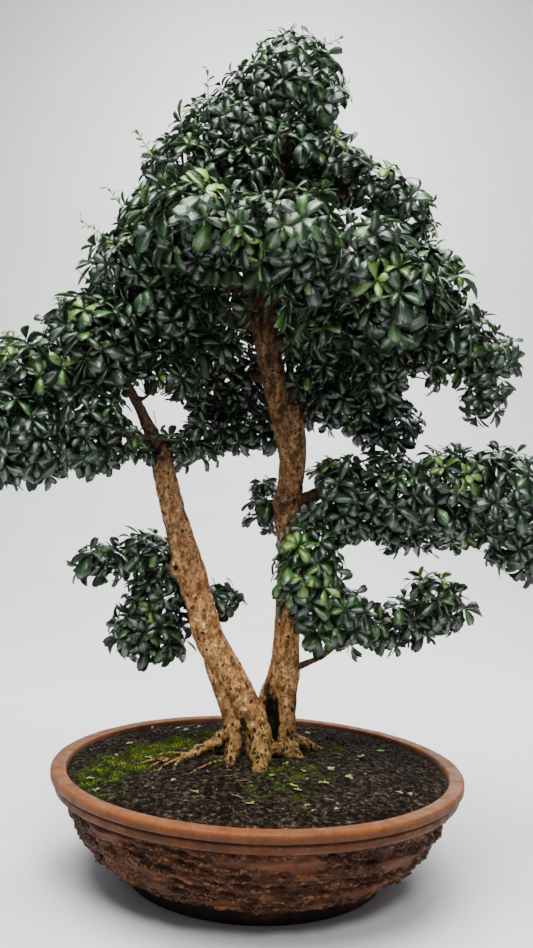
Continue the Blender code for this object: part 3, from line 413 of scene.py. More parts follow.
def bark_finish(name, dull):
    """Tan bark, mottled, with fine lengthwise cracks, black pits, and green near the soil, browner and darker higher
    up, partly with painted shade from the foliage. dull browns it and darkens it with painted shade, for the branches
    under the pads.
    """
    made, nodes, links, shader = new_finish(name, 0.70, 0.16)
    place = stretched(nodes, links, (1, 1, 1))
    tall = stretched(nodes, links, (1, 1, 0.45))
    tan = ramp(nodes, links, noise_map(nodes, links, tall, 120, 8, 0.74), [
        (0.36, (0.050, 0.020, 0.008)), (0.44, (0.270, 0.118, 0.036)), (0.53, (0.520, 0.265, 0.095)),
        (0.65, (0.900, 0.600, 0.285))])
    mottle = ramp(nodes, links, noise_map(nodes, links, place, 190, 5, 0.68), [
        (0.36, 0.22), (0.48, 0.95), (0.62, 1.50)])
    tan = mixed(nodes, links, 1.0, tan, mottle, "MULTIPLY")
    red = ramp(nodes, links, noise_map(nodes, links, place, 26, 4), [(0.46, 0.0), (0.66, 0.50)])
    tan = mixed(nodes, links, red, tan, (0.270, 0.100, 0.036))
    height = nodes.new("ShaderNodeSeparateXYZ")
    links.new(place, height.inputs[0])
    # Browner and darker higher up: browner bark, and painted shade from the foliage over the upper trunk.
    upper_brown_and_shade = reckoned(nodes, links, "MULTIPLY_ADD", noise_map(nodes, links, place, 20, 5, 0.7), 0.50,
                    height.outputs["Z"])
    brown = ramp(nodes, links, upper_brown_and_shade, [(0.58, 0.0), (0.74, 0.60), (0.95, 0.86)])
    shade = ramp(nodes, links, noise_map(nodes, links, tall, 95, 7, 0.75), [
        (0.40, (0.010, 0.005, 0.003)), (0.48, (0.080, 0.038, 0.015)), (0.60, (0.300, 0.170, 0.080))])
    tan = mixed(nodes, links, brown, tan, mixed(nodes, links, 1.0, shade, mottle, "MULTIPLY"))
    crust = ramp(nodes, links, noise_map(nodes, links, place, 70, 8, 0.8), [(0.53, 0.0), (0.63, 0.85)])
    tan = mixed(nodes, links, crust, tan, (0.046, 0.024, 0.010))
    # Darker brown for the branches: browner bark, and painted shade under the pads.
    tan = mixed(nodes, links, dull, tan, mixed(nodes, links, 1.0, (0.060, 0.031, 0.019), mottle, "MULTIPLY"))
    olive = ramp(nodes, links, reckoned(nodes, links, "MULTIPLY_ADD", noise_map(nodes, links, place, 48, 6, 0.7),
                                        -0.30, height.outputs["Z"]), [(-0.02, 0.60), (0.05, 0.30), (0.11, 0.0)])
    tan = mixed(nodes, links, olive, tan, mixed(nodes, links, 1.0, (0.220, 0.160, 0.030), mottle, "MULTIPLY"))
    cells = nodes.new("ShaderNodeTexVoronoi")
    cells.inputs["Scale"].default_value = 160
    links.new(stretched(nodes, links, (1, 1, 0.8)), cells.inputs["Vector"])
    chosen = nodes.new("ShaderNodeSeparateColor")
    links.new(cells.outputs["Color"], chosen.inputs[0])
    size = ramp(nodes, links, chosen.outputs["Red"], [(0.15, 0.0), (1.0, 0.62)])
    ragged = reckoned(nodes, links, "MULTIPLY_ADD", noise_map(nodes, links, place, 380, 5, 0.7), 0.95,
                      cells.outputs["Distance"])
    low = ramp(nodes, links, height.outputs["Z"], [(0.155, 0.52), (0.22, 0.38), (0.32, 0.22)])
    pit = reckoned(nodes, links, "LESS_THAN", ragged, reckoned(nodes, links, "ADD", size, low))
    specks = ramp(nodes, links, noise_map(nodes, links, tall, 520, 4, 0.6), [(0.60, 0.0), (0.68, 0.85)])
    tan = mixed(nodes, links, specks, tan, (0.028, 0.015, 0.009))
    tan = mixed(nodes, links, reckoned(nodes, links, "MULTIPLY", pit, 0.94), tan, (0.010, 0.006, 0.004))
    # The dark attribute: painted shade in the wood's grooves and hollows and between the trunks, darker crusts, and
    # random dark on twigs and rootlets.
    tan = mixed(nodes, links, attribute(nodes, "dark"), tan, (0.010, 0.007, 0.005))
    links.new(tan, shader.inputs["Base Color"])
    cracks = bump(nodes, links, noise_map(nodes, links, tall, 190, 8, 0.75), 0.0028, 1.0)
    pits = bump(nodes, links, reckoned(nodes, links, "SUBTRACT", 1.0, pit), 0.0015, 0.7, cracks)
    links.new(pits, shader.inputs["Normal"])
    return made


def leaf_finish():
    """A glossy dark leaf: each leaf has its own tone and age, a paler midrib and veins, and a dull pale underside. The
    tone also carries painted light on leaves that face up or sit on lit pads, and painted shade inside the pads.
    """
    made, nodes, links, shader = new_finish("leaf", 0.34, 1.0)
    place = stretched(nodes, links, (1, 1, 1))
    old = ramp(nodes, links, attribute(nodes, "tone"), [
        (0.0, (0.0015, 0.007, 0.003)), (0.40, (0.004, 0.018, 0.007)), (0.75, (0.012, 0.046, 0.013)),
        (1.0, (0.042, 0.120, 0.016))])
    young = ramp(nodes, links, attribute(nodes, "tone"), [(0.0, (0.100, 0.240, 0.020)), (1.0, (0.330, 0.560, 0.040))])
    blade = mixed(nodes, links, attribute(nodes, "age"), old, young)
    own = nodes.new("ShaderNodeUVMap")
    own.uv_map = "blade"
    across = nodes.new("ShaderNodeSeparateXYZ")
    links.new(own.outputs["UV"], across.inputs[0])
    off = reckoned(nodes, links, "ABSOLUTE", reckoned(nodes, links, "SUBTRACT", across.outputs["X"], 0.5), 0.0)
    midrib = ramp(nodes, links, off, [(0.015, 1.0), (0.05, 0.0)])
    slant = reckoned(nodes, links, "MULTIPLY_ADD", off, -0.9, across.outputs["Y"])
    wave = reckoned(nodes, links, "SINE", reckoned(nodes, links, "MULTIPLY", slant, 46.0), 0.0)
    veins = ramp(nodes, links, wave, [(0.86, 0.0), (1.0, 0.45)])
    lines = mixed(nodes, links, 1.0, midrib, veins, "LIGHTEN")
    blade = mixed(nodes, links, reckoned(nodes, links, "MULTIPLY", lines, 0.55), blade, (0.150, 0.260, 0.090))
    blotch = ramp(nodes, links, noise_map(nodes, links, place, 120, 4), [(0.3, 0.82), (0.7, 1.2)])
    blade = mixed(nodes, links, 1.0, blade, blotch, "MULTIPLY")
    below = mixed(nodes, links, attribute(nodes, "age"), (0.022, 0.060, 0.012), (0.160, 0.330, 0.040))
    blade = mixed(nodes, links, attribute(nodes, "under"), blade, below)
    links.new(blade, shader.inputs["Base Color"])
    gloss = ramp(nodes, links, noise_map(nodes, links, place, 60, 4), [(0.3, 0.24), (0.7, 0.44)])
    gloss = mixed(nodes, links, attribute(nodes, "under"), gloss, (0.6, 0.6, 0.6))
    links.new(gloss, shader.inputs["Roughness"])
    raised = bump(nodes, links, reckoned(nodes, links, "SUBTRACT", 1.0, lines), 0.0003, 0.6)
    links.new(raised, shader.inputs["Normal"])
    return made


def moss_finish():
    made, nodes, links, shader = new_finish("moss", 0.85, 0.10)
    place = stretched(nodes, links, (1, 1, 1))
    green = ramp(nodes, links, attribute(nodes, "tone"), [
        (0.0, (0.012, 0.026, 0.003)), (0.5, (0.085, 0.130, 0.009)), (1.0, (0.380, 0.480, 0.035))])
    patches = ramp(nodes, links, noise_map(nodes, links, place, 45, 4), [(0.3, 0.6), (0.7, 1.3)])
    links.new(mixed(nodes, links, 1.0, green, patches, "MULTIPLY"), shader.inputs["Base Color"])
    links.new(bump(nodes, links, noise_map(nodes, links, place, 900, 3), 0.0005, 0.6), shader.inputs["Normal"])
    return made


def crumb_finish():
    """Soil crumbs, grit and dry scraps, from nearly black through brown to pale straw."""
    made, nodes, links, shader = new_finish("soil crumbs", 0.9, 0.08)
    place = stretched(nodes, links, (1, 1, 1))
    body = ramp(nodes, links, attribute(nodes, "tone"), [
        (0.0, (0.007, 0.005, 0.004)), (0.50, (0.026, 0.018, 0.013)), (0.80, (0.095, 0.062, 0.040)),
        (0.92, (0.300, 0.200, 0.110)), (1.0, (0.620, 0.500, 0.360))])
    speck = ramp(nodes, links, noise_map(nodes, links, place, 380, 5), [(0.3, 0.6), (0.7, 1.4)])
    links.new(mixed(nodes, links, 1.0, body, speck, "MULTIPLY"), shader.inputs["Base Color"])
    links.new(bump(nodes, links, noise_map(nodes, links, place, 700, 4), 0.0006, 0.7), shader.inputs["Normal"])
    return made


def screen_finish():
    """Black woven plastic mesh over the drain holes."""
    made, nodes, links, shader = new_finish("mesh plastic", 0.5, 0.4)
    place = stretched(nodes, links, (1, 1, 1))
    threads = []
    for axis in ("X", "Y"):
        wave = nodes.new("ShaderNodeTexWave")
        wave.bands_direction = axis
        wave.inputs["Scale"].default_value = 260
        links.new(place, wave.inputs["Vector"])
        threads.append(wave.outputs["Fac"])
    weave = reckoned(nodes, links, "MAXIMUM", *threads)
    links.new(ramp(nodes, links, weave, [(0.2, (0.006, 0.006, 0.006)), (0.9, (0.040, 0.040, 0.042))]),
              shader.inputs["Base Color"])
    links.new(bump(nodes, links, weave, 0.0006, 0.9), shader.inputs["Normal"])
    return made


# Making pieces


def make_piece(name, shape, finish, replaced=(), smooth=True):
    """Ends a bmesh as a piece of the object."""
    mesh = bpy.data.meshes.new(name)
    shape.to_mesh(mesh)
    shape.free()
    mesh.materials.append(finish)
    if smooth:
        mesh.shade_smooth()
    piece = bpy.data.objects.new(name, mesh)
    bpy.context.scene.collection.objects.link(piece)
    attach(piece, "root")
    if replaced:
        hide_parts(*replaced)
    return piece


def evaluated_mesh(obj):
    """The mesh that obj's modifiers leave. obj is removed."""
    bpy.context.view_layer.update()
    graph = bpy.context.evaluated_depsgraph_get()
    mesh = bpy.data.meshes.new_from_object(obj.evaluated_get(graph))
    bpy.data.objects.remove(obj, do_unlink=True)
    return mesh


def loose_object(name, shape):
    mesh = bpy.data.meshes.new(name)
    shape.to_mesh(mesh)
    shape.free()
    obj = bpy.data.objects.new(name, mesh)
    bpy.context.scene.collection.objects.link(obj)
    return obj


def between(points, steps):
    """Points along a smooth line through the given points, with steps of them from each to the next."""
    given = [np.array(point, float) for point in points]
    ends = [2 * given[0] - given[1], *given, 2 * given[-1] - given[-2]]
    line = []
    for before, start, end, after in zip(ends, ends[1:], ends[2:], ends[3:]):
        for step in range(steps):
            t = step / steps
            line.append(0.5 * (2 * start + (end - before) * t + (2 * before - 5 * start + 4 * end - after) * t * t
                               + (3 * start - before - 3 * end + after) * t ** 3))
    return [*line, given[-1]]


def turned(profile, steps):
    """A solid of revolution of a profile of (radius, height) points that starts and ends on the axis."""
    shape = bmesh.new()
    verts = [shape.verts.new((radius, 0.0, height)) for radius, height in profile]
    edges = [shape.edges.new(pair) for pair in zip(verts, verts[1:])]
    bmesh.ops.spin(shape, geom=verts + edges, cent=(0, 0, 0), axis=(0, 0, 1), angle=math.tau, steps=steps,
                   use_merge=True)
    bmesh.ops.remove_doubles(shape, verts=shape.verts, dist=0.00001)
    bmesh.ops.recalc_face_normals(shape, faces=shape.faces)
    return shape


class Pattern:
    """A small mesh that is laid many times, each time with its own value of every tone."""

    def __init__(self, shape, tones=("tone",)):
        self.mesh = bpy.data.meshes.new("pattern")
        shape.to_mesh(self.mesh)
        shape.free()
        self.count = len(self.mesh.vertices)
        self.rest = np.zeros(self.count * 3, np.float32)
        self.mesh.vertices.foreach_get("co", self.rest)
        for tone in tones:
            self.mesh.attributes.new(tone, "FLOAT", "POINT")
        self.mesh.shade_smooth()

    def lay(self, shape, place, **tones):
        self.mesh.vertices.foreach_set("co", self.rest)
        self.mesh.transform(place)
        for tone, value in tones.items():
            self.mesh.attributes[tone].data.foreach_set("value", np.full(self.count, value, np.float32))
        shape.from_mesh(self.mesh)


def facing(place, along, upper, size):
    """A turn and scale that lays a pattern at place, its +Y along one way and its +Z towards the upper side."""
    forward = along.normalized()
    side = forward.cross(upper)
    side = side.normalized() if side.length > 1e-4 else forward.orthogonal().normalized()
    up = side.cross(forward)
    turn = Matrix((side, forward, up)).transposed().to_4x4()
    return Matrix.Translation(place) @ turn @ Matrix.Diagonal((*size, 1.0))


# Pot


def rock_height(angle, height):
    """The bowl's split-stone relief, as in the part's source."""
    around = Vector((math.cos(angle) * 1.9, math.sin(angle) * 1.9, height * 9.0))
    ledge = math.sin(height * 230.0 + 2.6 * noise.noise(around * 1.3) + 1.1 * math.sin(2.0 * angle))
    lump = noise.fractal(around * 2.6, 0.9, 2.1, 3)
    return 0.5 * ledge + 0.9 * lump


def stone_layers(angle, height):
    """(push, ridge, crevice, roughness) of the finer relief: ledges that break up into crumbs, and smooth patches.
    ridge is pale dust with a painted highlight on the ridges; crevice is painted shade in the crevices and cracks.
    """
    around = Vector((math.cos(angle) * 0.27, math.sin(angle) * 0.27, height))
    long_way = Vector((around.x * 5.0, around.y * 5.0, height * 16.0))
    level = height * 74.0 + 2.1 * noise.noise(long_way) + 0.75 * noise.noise(long_way * 3.1)
    step = level - math.floor(level)
    ledge = step ** 1.6 if step < 0.84 else 0.757 * (1.0 - step) / 0.16
    grains = Vector((around.x * 62.0, around.y * 62.0, height * 88.0))
    crumbs = noise.fractal(grains, 0.75, 2.1, 5)
    cracks = 1.0 - 2.2 * abs(noise.noise(grains * 0.8 + Vector((3, 1, 4))))
    patch = noise.noise(Vector((around.x * 13.0, around.y * 13.0, height * 46.0)) + Vector((1, 7, 3)))
    smoothness = min(1.0, max(0.0, 3.0 * (patch - 0.14), 1.0 - (0.124 - height) / 0.010))
    rough = 1.0 - 0.9 * smoothness
    push = 0.0056 * (ledge - 0.45) * (0.25 + 0.75 * rough) + rough * (
        0.0046 * crumbs - 0.0030 * max(0.0, cracks) ** 3)
    hem = math.exp(-((height - 0.034) / 0.006) ** 2)
    # Pale dust and a painted highlight on the ridges, painted shade in the crevices and cracks.
    ridge = max(0.0, min(1.0, 0.8 * ledge * rough + 1.0 * crumbs * rough - 0.05 + 0.45 * hem))
    crevice = max(0.0, min(1.0, 5.0 * (0.09 - ledge) * (0.3 + 0.7 * rough) + rough * (
        1.6 * max(0.0, -crumbs - 0.22) + 1.0 * max(0.0, cracks - 0.55))))
    return push, ridge, crevice, rough


def drain_cutters():
    """The three drain holes and the channels under the foot."""
    shape = bmesh.new()
    for degrees in DRAIN_ANGLES:
        turn = Matrix.Rotation(math.radians(degrees), 4, "Z")
        bmesh.ops.create_cone(shape, cap_ends=True, segments=48, radius1=DRAIN_RADIUS, radius2=DRAIN_RADIUS,
                              depth=0.08, matrix=turn @ Matrix.Translation((DRAIN_CIRCLE, 0, 0.012)))
    holes = loose_object("drain_holes", shape)
    shape = bmesh.new()
    for degrees in DRAIN_ANGLES:
        turn = Matrix.Rotation(math.radians(degrees), 4, "Z")
        middle = Matrix.Translation((DRAIN_CIRCLE + CHANNEL_LENGTH / 2, 0, 0))
        size = Matrix.Diagonal((CHANNEL_LENGTH, CHANNEL_WIDTH, 2 * CHANNEL_DEPTH, 1))
        bmesh.ops.create_cube(shape, size=1.0, matrix=turn @ middle @ size)
    return holes, loose_object("drain_channels", shape)


def make_pot(clay):
    """The turned pot, its bowl roughened like split stone."""
    inside = [(0.0, FLOOR_HEIGHT), (0.120, FLOOR_HEIGHT), (0.180, FLOOR_HEIGHT), (0.252, 0.110), (0.2765, 0.1475),
              (MOUTH_RADIUS, 0.1510)]
    rim = [(0.2786, 0.1532), (0.2797, 0.1544), (0.2815, 0.1549), (0.2960, RIM_HEIGHT), (0.2976, 0.1548),
           (0.2989, 0.1542), (0.2997, 0.1531), (RIM_RADIUS, 0.1516), (RIM_RADIUS, 0.1456), (0.2997, 0.1442),
           (0.2988, 0.1432), (0.2972, 0.1427), (0.2950, 0.1423), (0.2932, 0.1416), (0.2926, 0.1406),
           (0.2930, 0.1396), (0.2936, 0.1388), (0.2941, 0.1379), (0.2943, 0.1366), (0.2943, 0.1320),
           (0.2937, 0.1299), (0.2922, 0.1286), (0.2880, 0.1277), (0.2790, 0.1268), (0.2715, 0.1256)]
    bowl = [tuple(point) for point in between(BOWL, 10)]
    foot = [(0.2040, 0.0238), (0.1975, 0.0222), (0.1935, 0.0205), (0.1915, 0.0180), (0.1905, 0.0100),
            (0.1895, 0.0030), (BASE_RADIUS, 0.0008), (0.1865, 0.0), (0.120, 0.0), (0.0, 0.0)]
    shape = turned(inside + rim + bowl + foot, POT_SEGMENTS)
    pot = loose_object("pot_clay", shape)
    for cutter in drain_cutters():
        cut = pot.modifiers.new("drain", "BOOLEAN")
        cut.operation = "DIFFERENCE"
        cut.solver = "EXACT"
        cut.object = cutter
    mesh = evaluated_mesh(pot)
    for name in ("drain_holes", "drain_channels"):
        bpy.data.objects.remove(bpy.data.objects[name], do_unlink=True)
    shape = bmesh.new()
    shape.from_mesh(mesh)
    ridge_tone = shape.verts.layers.float.new("ridge")
    crevice_tone = shape.verts.layers.float.new("crevice")
    groove_dark_tone = shape.verts.layers.float.new("groove_dark")
    rough_tone = shape.verts.layers.float.new("rough")
    for vertex in shape.verts:
        x, y, z = vertex.co
        radius, angle = math.hypot(x, y), math.atan2(y, x)
        around = Vector((x, y, z))
        if radius > 0.196 and 0.0225 < z < 0.1262:
            edge = min(1.0, (0.1262 - z) / 0.004, (z - 0.0225) / 0.003)
            push, ridge, crevice, rough = stone_layers(angle, z)
            coarse = ROCK_RELIEF * max(-0.9, min(1.0, rock_height(angle, z)))
            out = edge * (0.80 * coarse + push)
            vertex.co = (x * (1 + out / radius), y * (1 + out / radius), z - 0.35 * edge * push)
            vertex[rough_tone] = rough
            vertex[ridge_tone] = ridge * edge
            vertex[crevice_tone] = crevice * edge
        elif radius > 0.279 and z > 0.1265:
            sway = 0.0005 * noise.noise(around * 30.0) + 0.0003 * noise.noise(around * 90.0)
            vertex.co = (x * (1 + sway / radius), y * (1 + sway / radius), z + 0.6 * sway)
            worn = noise.noise(around * 70.0)
            # Pale wear and a painted highlight along the rim's outer top edge and the band's bead.
            if radius > 0.2970 and z > 0.1525 or radius > 0.2936 and 0.1360 < z < 0.1385:
                vertex[ridge_tone] = 0.16 + 0.25 * worn
            # Painted shade in the groove under the rim, with near-black patches along it.
            if 0.1388 < z < 0.1426 and radius < 0.2975:
                vertex[crevice_tone] = 0.35
                groove_noise = noise.noise(Vector((x * 16.0, y * 16.0, 3.0))) + 0.35 * noise.noise(around * 120.0)
                vertex[groove_dark_tone] = min(0.95, max(0.0, 4.0 * (groove_noise - 0.02)))
            # Painted shade under the rim's overhang.
            if z < 0.1275:
                vertex[crevice_tone] = 0.45
    return make_piece("pot_clay", shape, clay, ["pot"])


# Soil


def plain_soil_height(x, y):
    """The soil's mound, as in the part's source."""
    share = max(0.0, 1.0 - math.hypot(x, y) / (MOUTH_RADIUS - 0.006))
    mound = SOIL_EDGE_HEIGHT + (SOIL_CROWN_HEIGHT - SOIL_EDGE_HEIGHT) * (1.0 - (1.0 - share) ** 2.2)
    return mound + 0.0022 * share * noise.noise(Vector((x * 14.0, y * 14.0, 0.4)))


def soil_height(x, y):
    """The mound with its lumps and hollows."""
    here = Vector((x, y, 0.0))
    lumps = noise.fractal(here * 42.0, 0.9, 2.1, 5)
    edge = min(1.0, max(0.0, (MOUTH_RADIUS - math.hypot(x, y)) / 0.02))
    return plain_soil_height(x, y) + edge * 0.0019 * lumps


# Where moss grows: (x, y, radius, thickness)
MOSS = [(-0.236, -0.118, 0.024, 0.75), (-0.214, -0.086, 0.030, 0.95), (-0.190, -0.050, 0.032, 1.0),
        (-0.164, -0.008, 0.034, 1.0), (-0.138, 0.030, 0.034, 1.0), (-0.112, 0.066, 0.030, 0.95),
        (-0.090, 0.104, 0.024, 0.8), (-0.072, 0.136, 0.018, 0.6), (-0.226, -0.148, 0.018, 0.6),
        (-0.200, -0.186, 0.020, 0.6), (-0.166, -0.100, 0.022, 0.45), (-0.220, -0.020, 0.026, 0.5),
        (-0.190, 0.020, 0.024, 0.5), (-0.120, -0.020, 0.022, 0.45), (-0.036, -0.050, 0.022, 0.45),
        (0.020, -0.075, 0.024, 0.5), (0.040, -0.060, 0.030, 0.55), (0.062, -0.110, 0.034, 0.4),
        (0.030, -0.140, 0.036, 0.4), (0.075, -0.150, 0.028, 0.35), (0.075, -0.040, 0.026, 0.35),
        (-0.060, 0.080, 0.030, 0.5), (0.060, 0.090, 0.034, 0.45), (0.120, 0.040, 0.030, 0.3)]


def mossiness(x, y):
    """How thickly moss grows at a place on the soil, from 0 to 1."""
    most = max(thick * (1.0 - ((x - mx) ** 2 + (y - my) ** 2) / (1.9 * size) ** 2) for mx, my, size, thick in MOSS)
    broken = noise.fractal(Vector((x * 46.0, y * 46.0, 7.0)), 0.7, 2.1, 5)
    return max(0.0, min(1.0, 1.15 * most + 0.85 * broken - 0.26))


def make_soil(earth):
    top = [(0.0, 0.165)] + [(0.0028 * step, 0.16) for step in range(1, SOIL_RINGS + 1)] + [(0.2762, SOIL_EDGE_HEIGHT)]
    wall = [(0.2515, 0.110), (0.1805, SOIL_BOTTOM), (0.0, SOIL_BOTTOM)]
    shape = turned(top + wall, SOIL_SEGMENTS)
    tone = shape.verts.layers.float.new("mossy")
    for vertex in shape.verts:
        if vertex.co.z > 0.14:
            vertex.co.z = soil_height(vertex.co.x, vertex.co.y)
            vertex[tone] = mossiness(vertex.co.x, vertex.co.y)
    return make_piece("soil_bed", shape, earth, ["soil"])


def on_the_soil(draw, reach=0.270):
    """A random place on the soil, clear of the trunks."""
    while True:
        angle, radius = draw.uniform(0, math.tau), reach * math.sqrt(draw.random())
        x, y = radius * math.cos(angle), radius * math.sin(angle)
        if not (-0.055 < x < 0.065 and -0.040 < y < 0.040):
            return x, y


def turned_at_random(draw, place, size):
    spin = Matrix.Rotation(draw.uniform(0, math.tau), 4, Vector([draw.gauss(0, 1) for _ in range(3)]).normalized())
    return Matrix.Translation(place) @ spin @ Matrix.Diagonal((*size, 1.0))


def make_crumbs(finish):
    """Crumbs and grit on the soil, a few of them pale."""
    draw = random.Random(SEED)
    grain = bmesh.new()
    bmesh.ops.create_icosphere(grain, subdivisions=1, radius=1.0)
    grain = Pattern(grain)
    shape = bmesh.new()
    for _ in range(CRUMB_COUNT):
        x, y = on_the_soil(draw)
        big = draw.random() ** 2.5
        size = [0.0007 + 0.0020 * big * draw.uniform(0.6, 1.2) for _ in range(3)]
        pale = draw.random()
        tone = 0.98 if pale > 0.995 else 0.86 if pale > 0.98 else draw.uniform(0.0, 0.80)
        height = soil_height(x, y) + 0.25 * min(size)
        grain.lay(shape, turned_at_random(draw, (x, y, height), size), tone=tone)
    return make_piece("soil_crumbs", shape, finish)


def straw_pattern():
    """A thin bent straw along +Y, one unit long."""
    shape = bmesh.new()
    bmesh.ops.create_cone(shape, cap_ends=True, segments=5, radius1=1.0, radius2=0.7, depth=1.0,
                          matrix=Matrix.Translation((0, 0.5, 0)) @ Matrix.Rotation(-math.pi / 2, 4, "X"))
    bmesh.ops.subdivide_edges(shape, edges=[edge for edge in shape.edges if abs(
        edge.verts[0].co.y - edge.verts[1].co.y) > 0.5], cuts=3, use_grid_fill=True)
    for vertex in shape.verts:
        vertex.co.x += 3.0 * math.sin(2.4 * vertex.co.y)
    return shape


def make_litter(finish):
    """Straws and dry leaf scraps that lie on the soil, at the places where the photograph shows the larger ones."""
    draw = random.Random(SEED + 1)
    shape = bmesh.new()
    straw = Pattern(straw_pattern())
    for _ in range(STRAW_COUNT):
        x, y = on_the_soil(draw, 0.255)
        way = Vector((draw.uniform(-1, 1), draw.uniform(-1, 1), draw.uniform(-0.05, 0.12)))
        length, thick = draw.uniform(0.007, 0.020), draw.uniform(0.0003, 0.0005)
        place = Vector((x, y, soil_height(x, y) + 0.0008))
        straw.lay(shape, facing(place, way, Vector((0, 0, 1)), (thick, length, thick)), tone=draw.uniform(0.74, 0.96))
    scrap = Pattern(blade_shape(0.35, 0.25, 0.62, rows=3))
    spots = [(0.186, -0.123, 0.012), (0.208, -0.129, 0.013), (-0.142, -0.148, 0.009), (-0.109, -0.126, 0.011),
             (0.070, -0.218, 0.012), (-0.016, -0.242, 0.010), (0.218, 0.164, 0.011), (0.060, -0.072, 0.020)]
    spots += [(*on_the_soil(draw, 0.262), draw.uniform(0.005, 0.009)) for _ in range(26)]
    for x, y, length in spots:
        way = Vector((draw.uniform(-1, 1), draw.uniform(-1, 1), draw.uniform(0.0, 0.25)))
        upper = Vector((draw.uniform(-0.4, 0.4), draw.uniform(-0.4, 0.4), 1))
        place = Vector((x, y, soil_height(x, y) + 0.0012))
        scrap.lay(shape, facing(place, way, upper, (length, length, length)), tone=draw.uniform(0.88, 1.0))
    return make_piece("dry_litter", shape, finish)


def make_moss(finish):
    """Tufts of moss, thickest along the patch on the left."""
    draw = random.Random(SEED + 2)
    tuft = bmesh.new()
    bmesh.ops.create_cone(tuft, cap_ends=True, segments=3, radius1=1.0, radius2=0.12, depth=1.0,
                          matrix=Matrix.Translation((0, 0, 0.35)))
    tuft = Pattern(tuft)
    shape = bmesh.new()
    laid = 0
    while laid < MOSS_TUFTS:
        x, y = on_the_soil(draw, 0.268)
        thick = mossiness(x, y)
        if draw.random() < thick ** 1.6:
            lean = Matrix.Rotation(draw.uniform(0, 0.9), 4, Vector((draw.uniform(-1, 1), draw.uniform(-1, 1), 0.01)))
            wide, tall = draw.uniform(0.0008, 0.0015), draw.uniform(0.0018, 0.0042) * (0.45 + 0.55 * thick)
            place = Matrix.Translation((x, y, soil_height(x, y) - 0.0004))
            tuft.lay(shape, place @ lean @ Matrix.Diagonal((wide, wide, tall, 1.0)),
                     tone=min(1.0, draw.uniform(0.05, 0.60) * (0.4 + 0.6 * thick) + 0.5 * thick * draw.random() ** 2))
            laid += 1
    return make_piece("moss_tufts", shape, finish)


# Wood


def leant(point):
    """A place on the left trunk or its branches, with the last few millimetres of its lean to the left."""
    if point[0] > -0.02 or point[2] > 0.70:
        return tuple(point)
    return (point[0] - 0.0065 * min(1.0, max(0.0, (point[2] - 0.24) / 0.08)), *point[1:])


def stem(line, sides, steps):
    """A tapering stem through (x, y, z, radius) points, as one closed mesh."""
    curve = bpy.data.curves.new("stem", "CURVE")
    curve.dimensions = "3D"
    curve.bevel_depth = 1.0
    curve.bevel_resolution = max(0, (sides - 4) // 2)
    curve.use_fill_caps = True
    spline = curve.splines.new("POLY")
    points = between(line, steps)
    spline.points.add(len(points) - 1)
    for point, (x, y, z, radius) in zip(spline.points, points):
        point.co = (x, y, z, 1.0)
        point.radius = max(radius, 0.0002)
    guide = bpy.data.objects.new("stem", curve)
    bpy.context.scene.collection.objects.link(guide)
    return evaluated_mesh(guide)


def wood_block(lines, knots, voxel):
    """Stems and knots melted into one skin."""
    shape = bmesh.new()
    for sides, line in lines:
        shape.from_mesh(stem([leant(point) for point in line], 2 * sides, 4))
    for x, y, z, radius in map(leant, knots):
        size = Matrix.Diagonal((radius, radius, radius * 1.15, 1.0))
        bmesh.ops.create_icosphere(shape, subdivisions=3, radius=1.0, matrix=Matrix.Translation((x, y, z)) @ size)
    block = loose_object("wood_block", shape)
    melt = block.modifiers.new("melt", "REMESH")
    melt.mode = "VOXEL"
    melt.voxel_size = voxel
    mesh = evaluated_mesh(block)
    shape = bmesh.new()
    shape.from_mesh(mesh)
    for _ in range(2):
        bmesh.ops.smooth_vert(shape, verts=shape.verts, factor=0.5, use_axis_x=True, use_axis_y=True,
                              use_axis_z=True)
    return shape


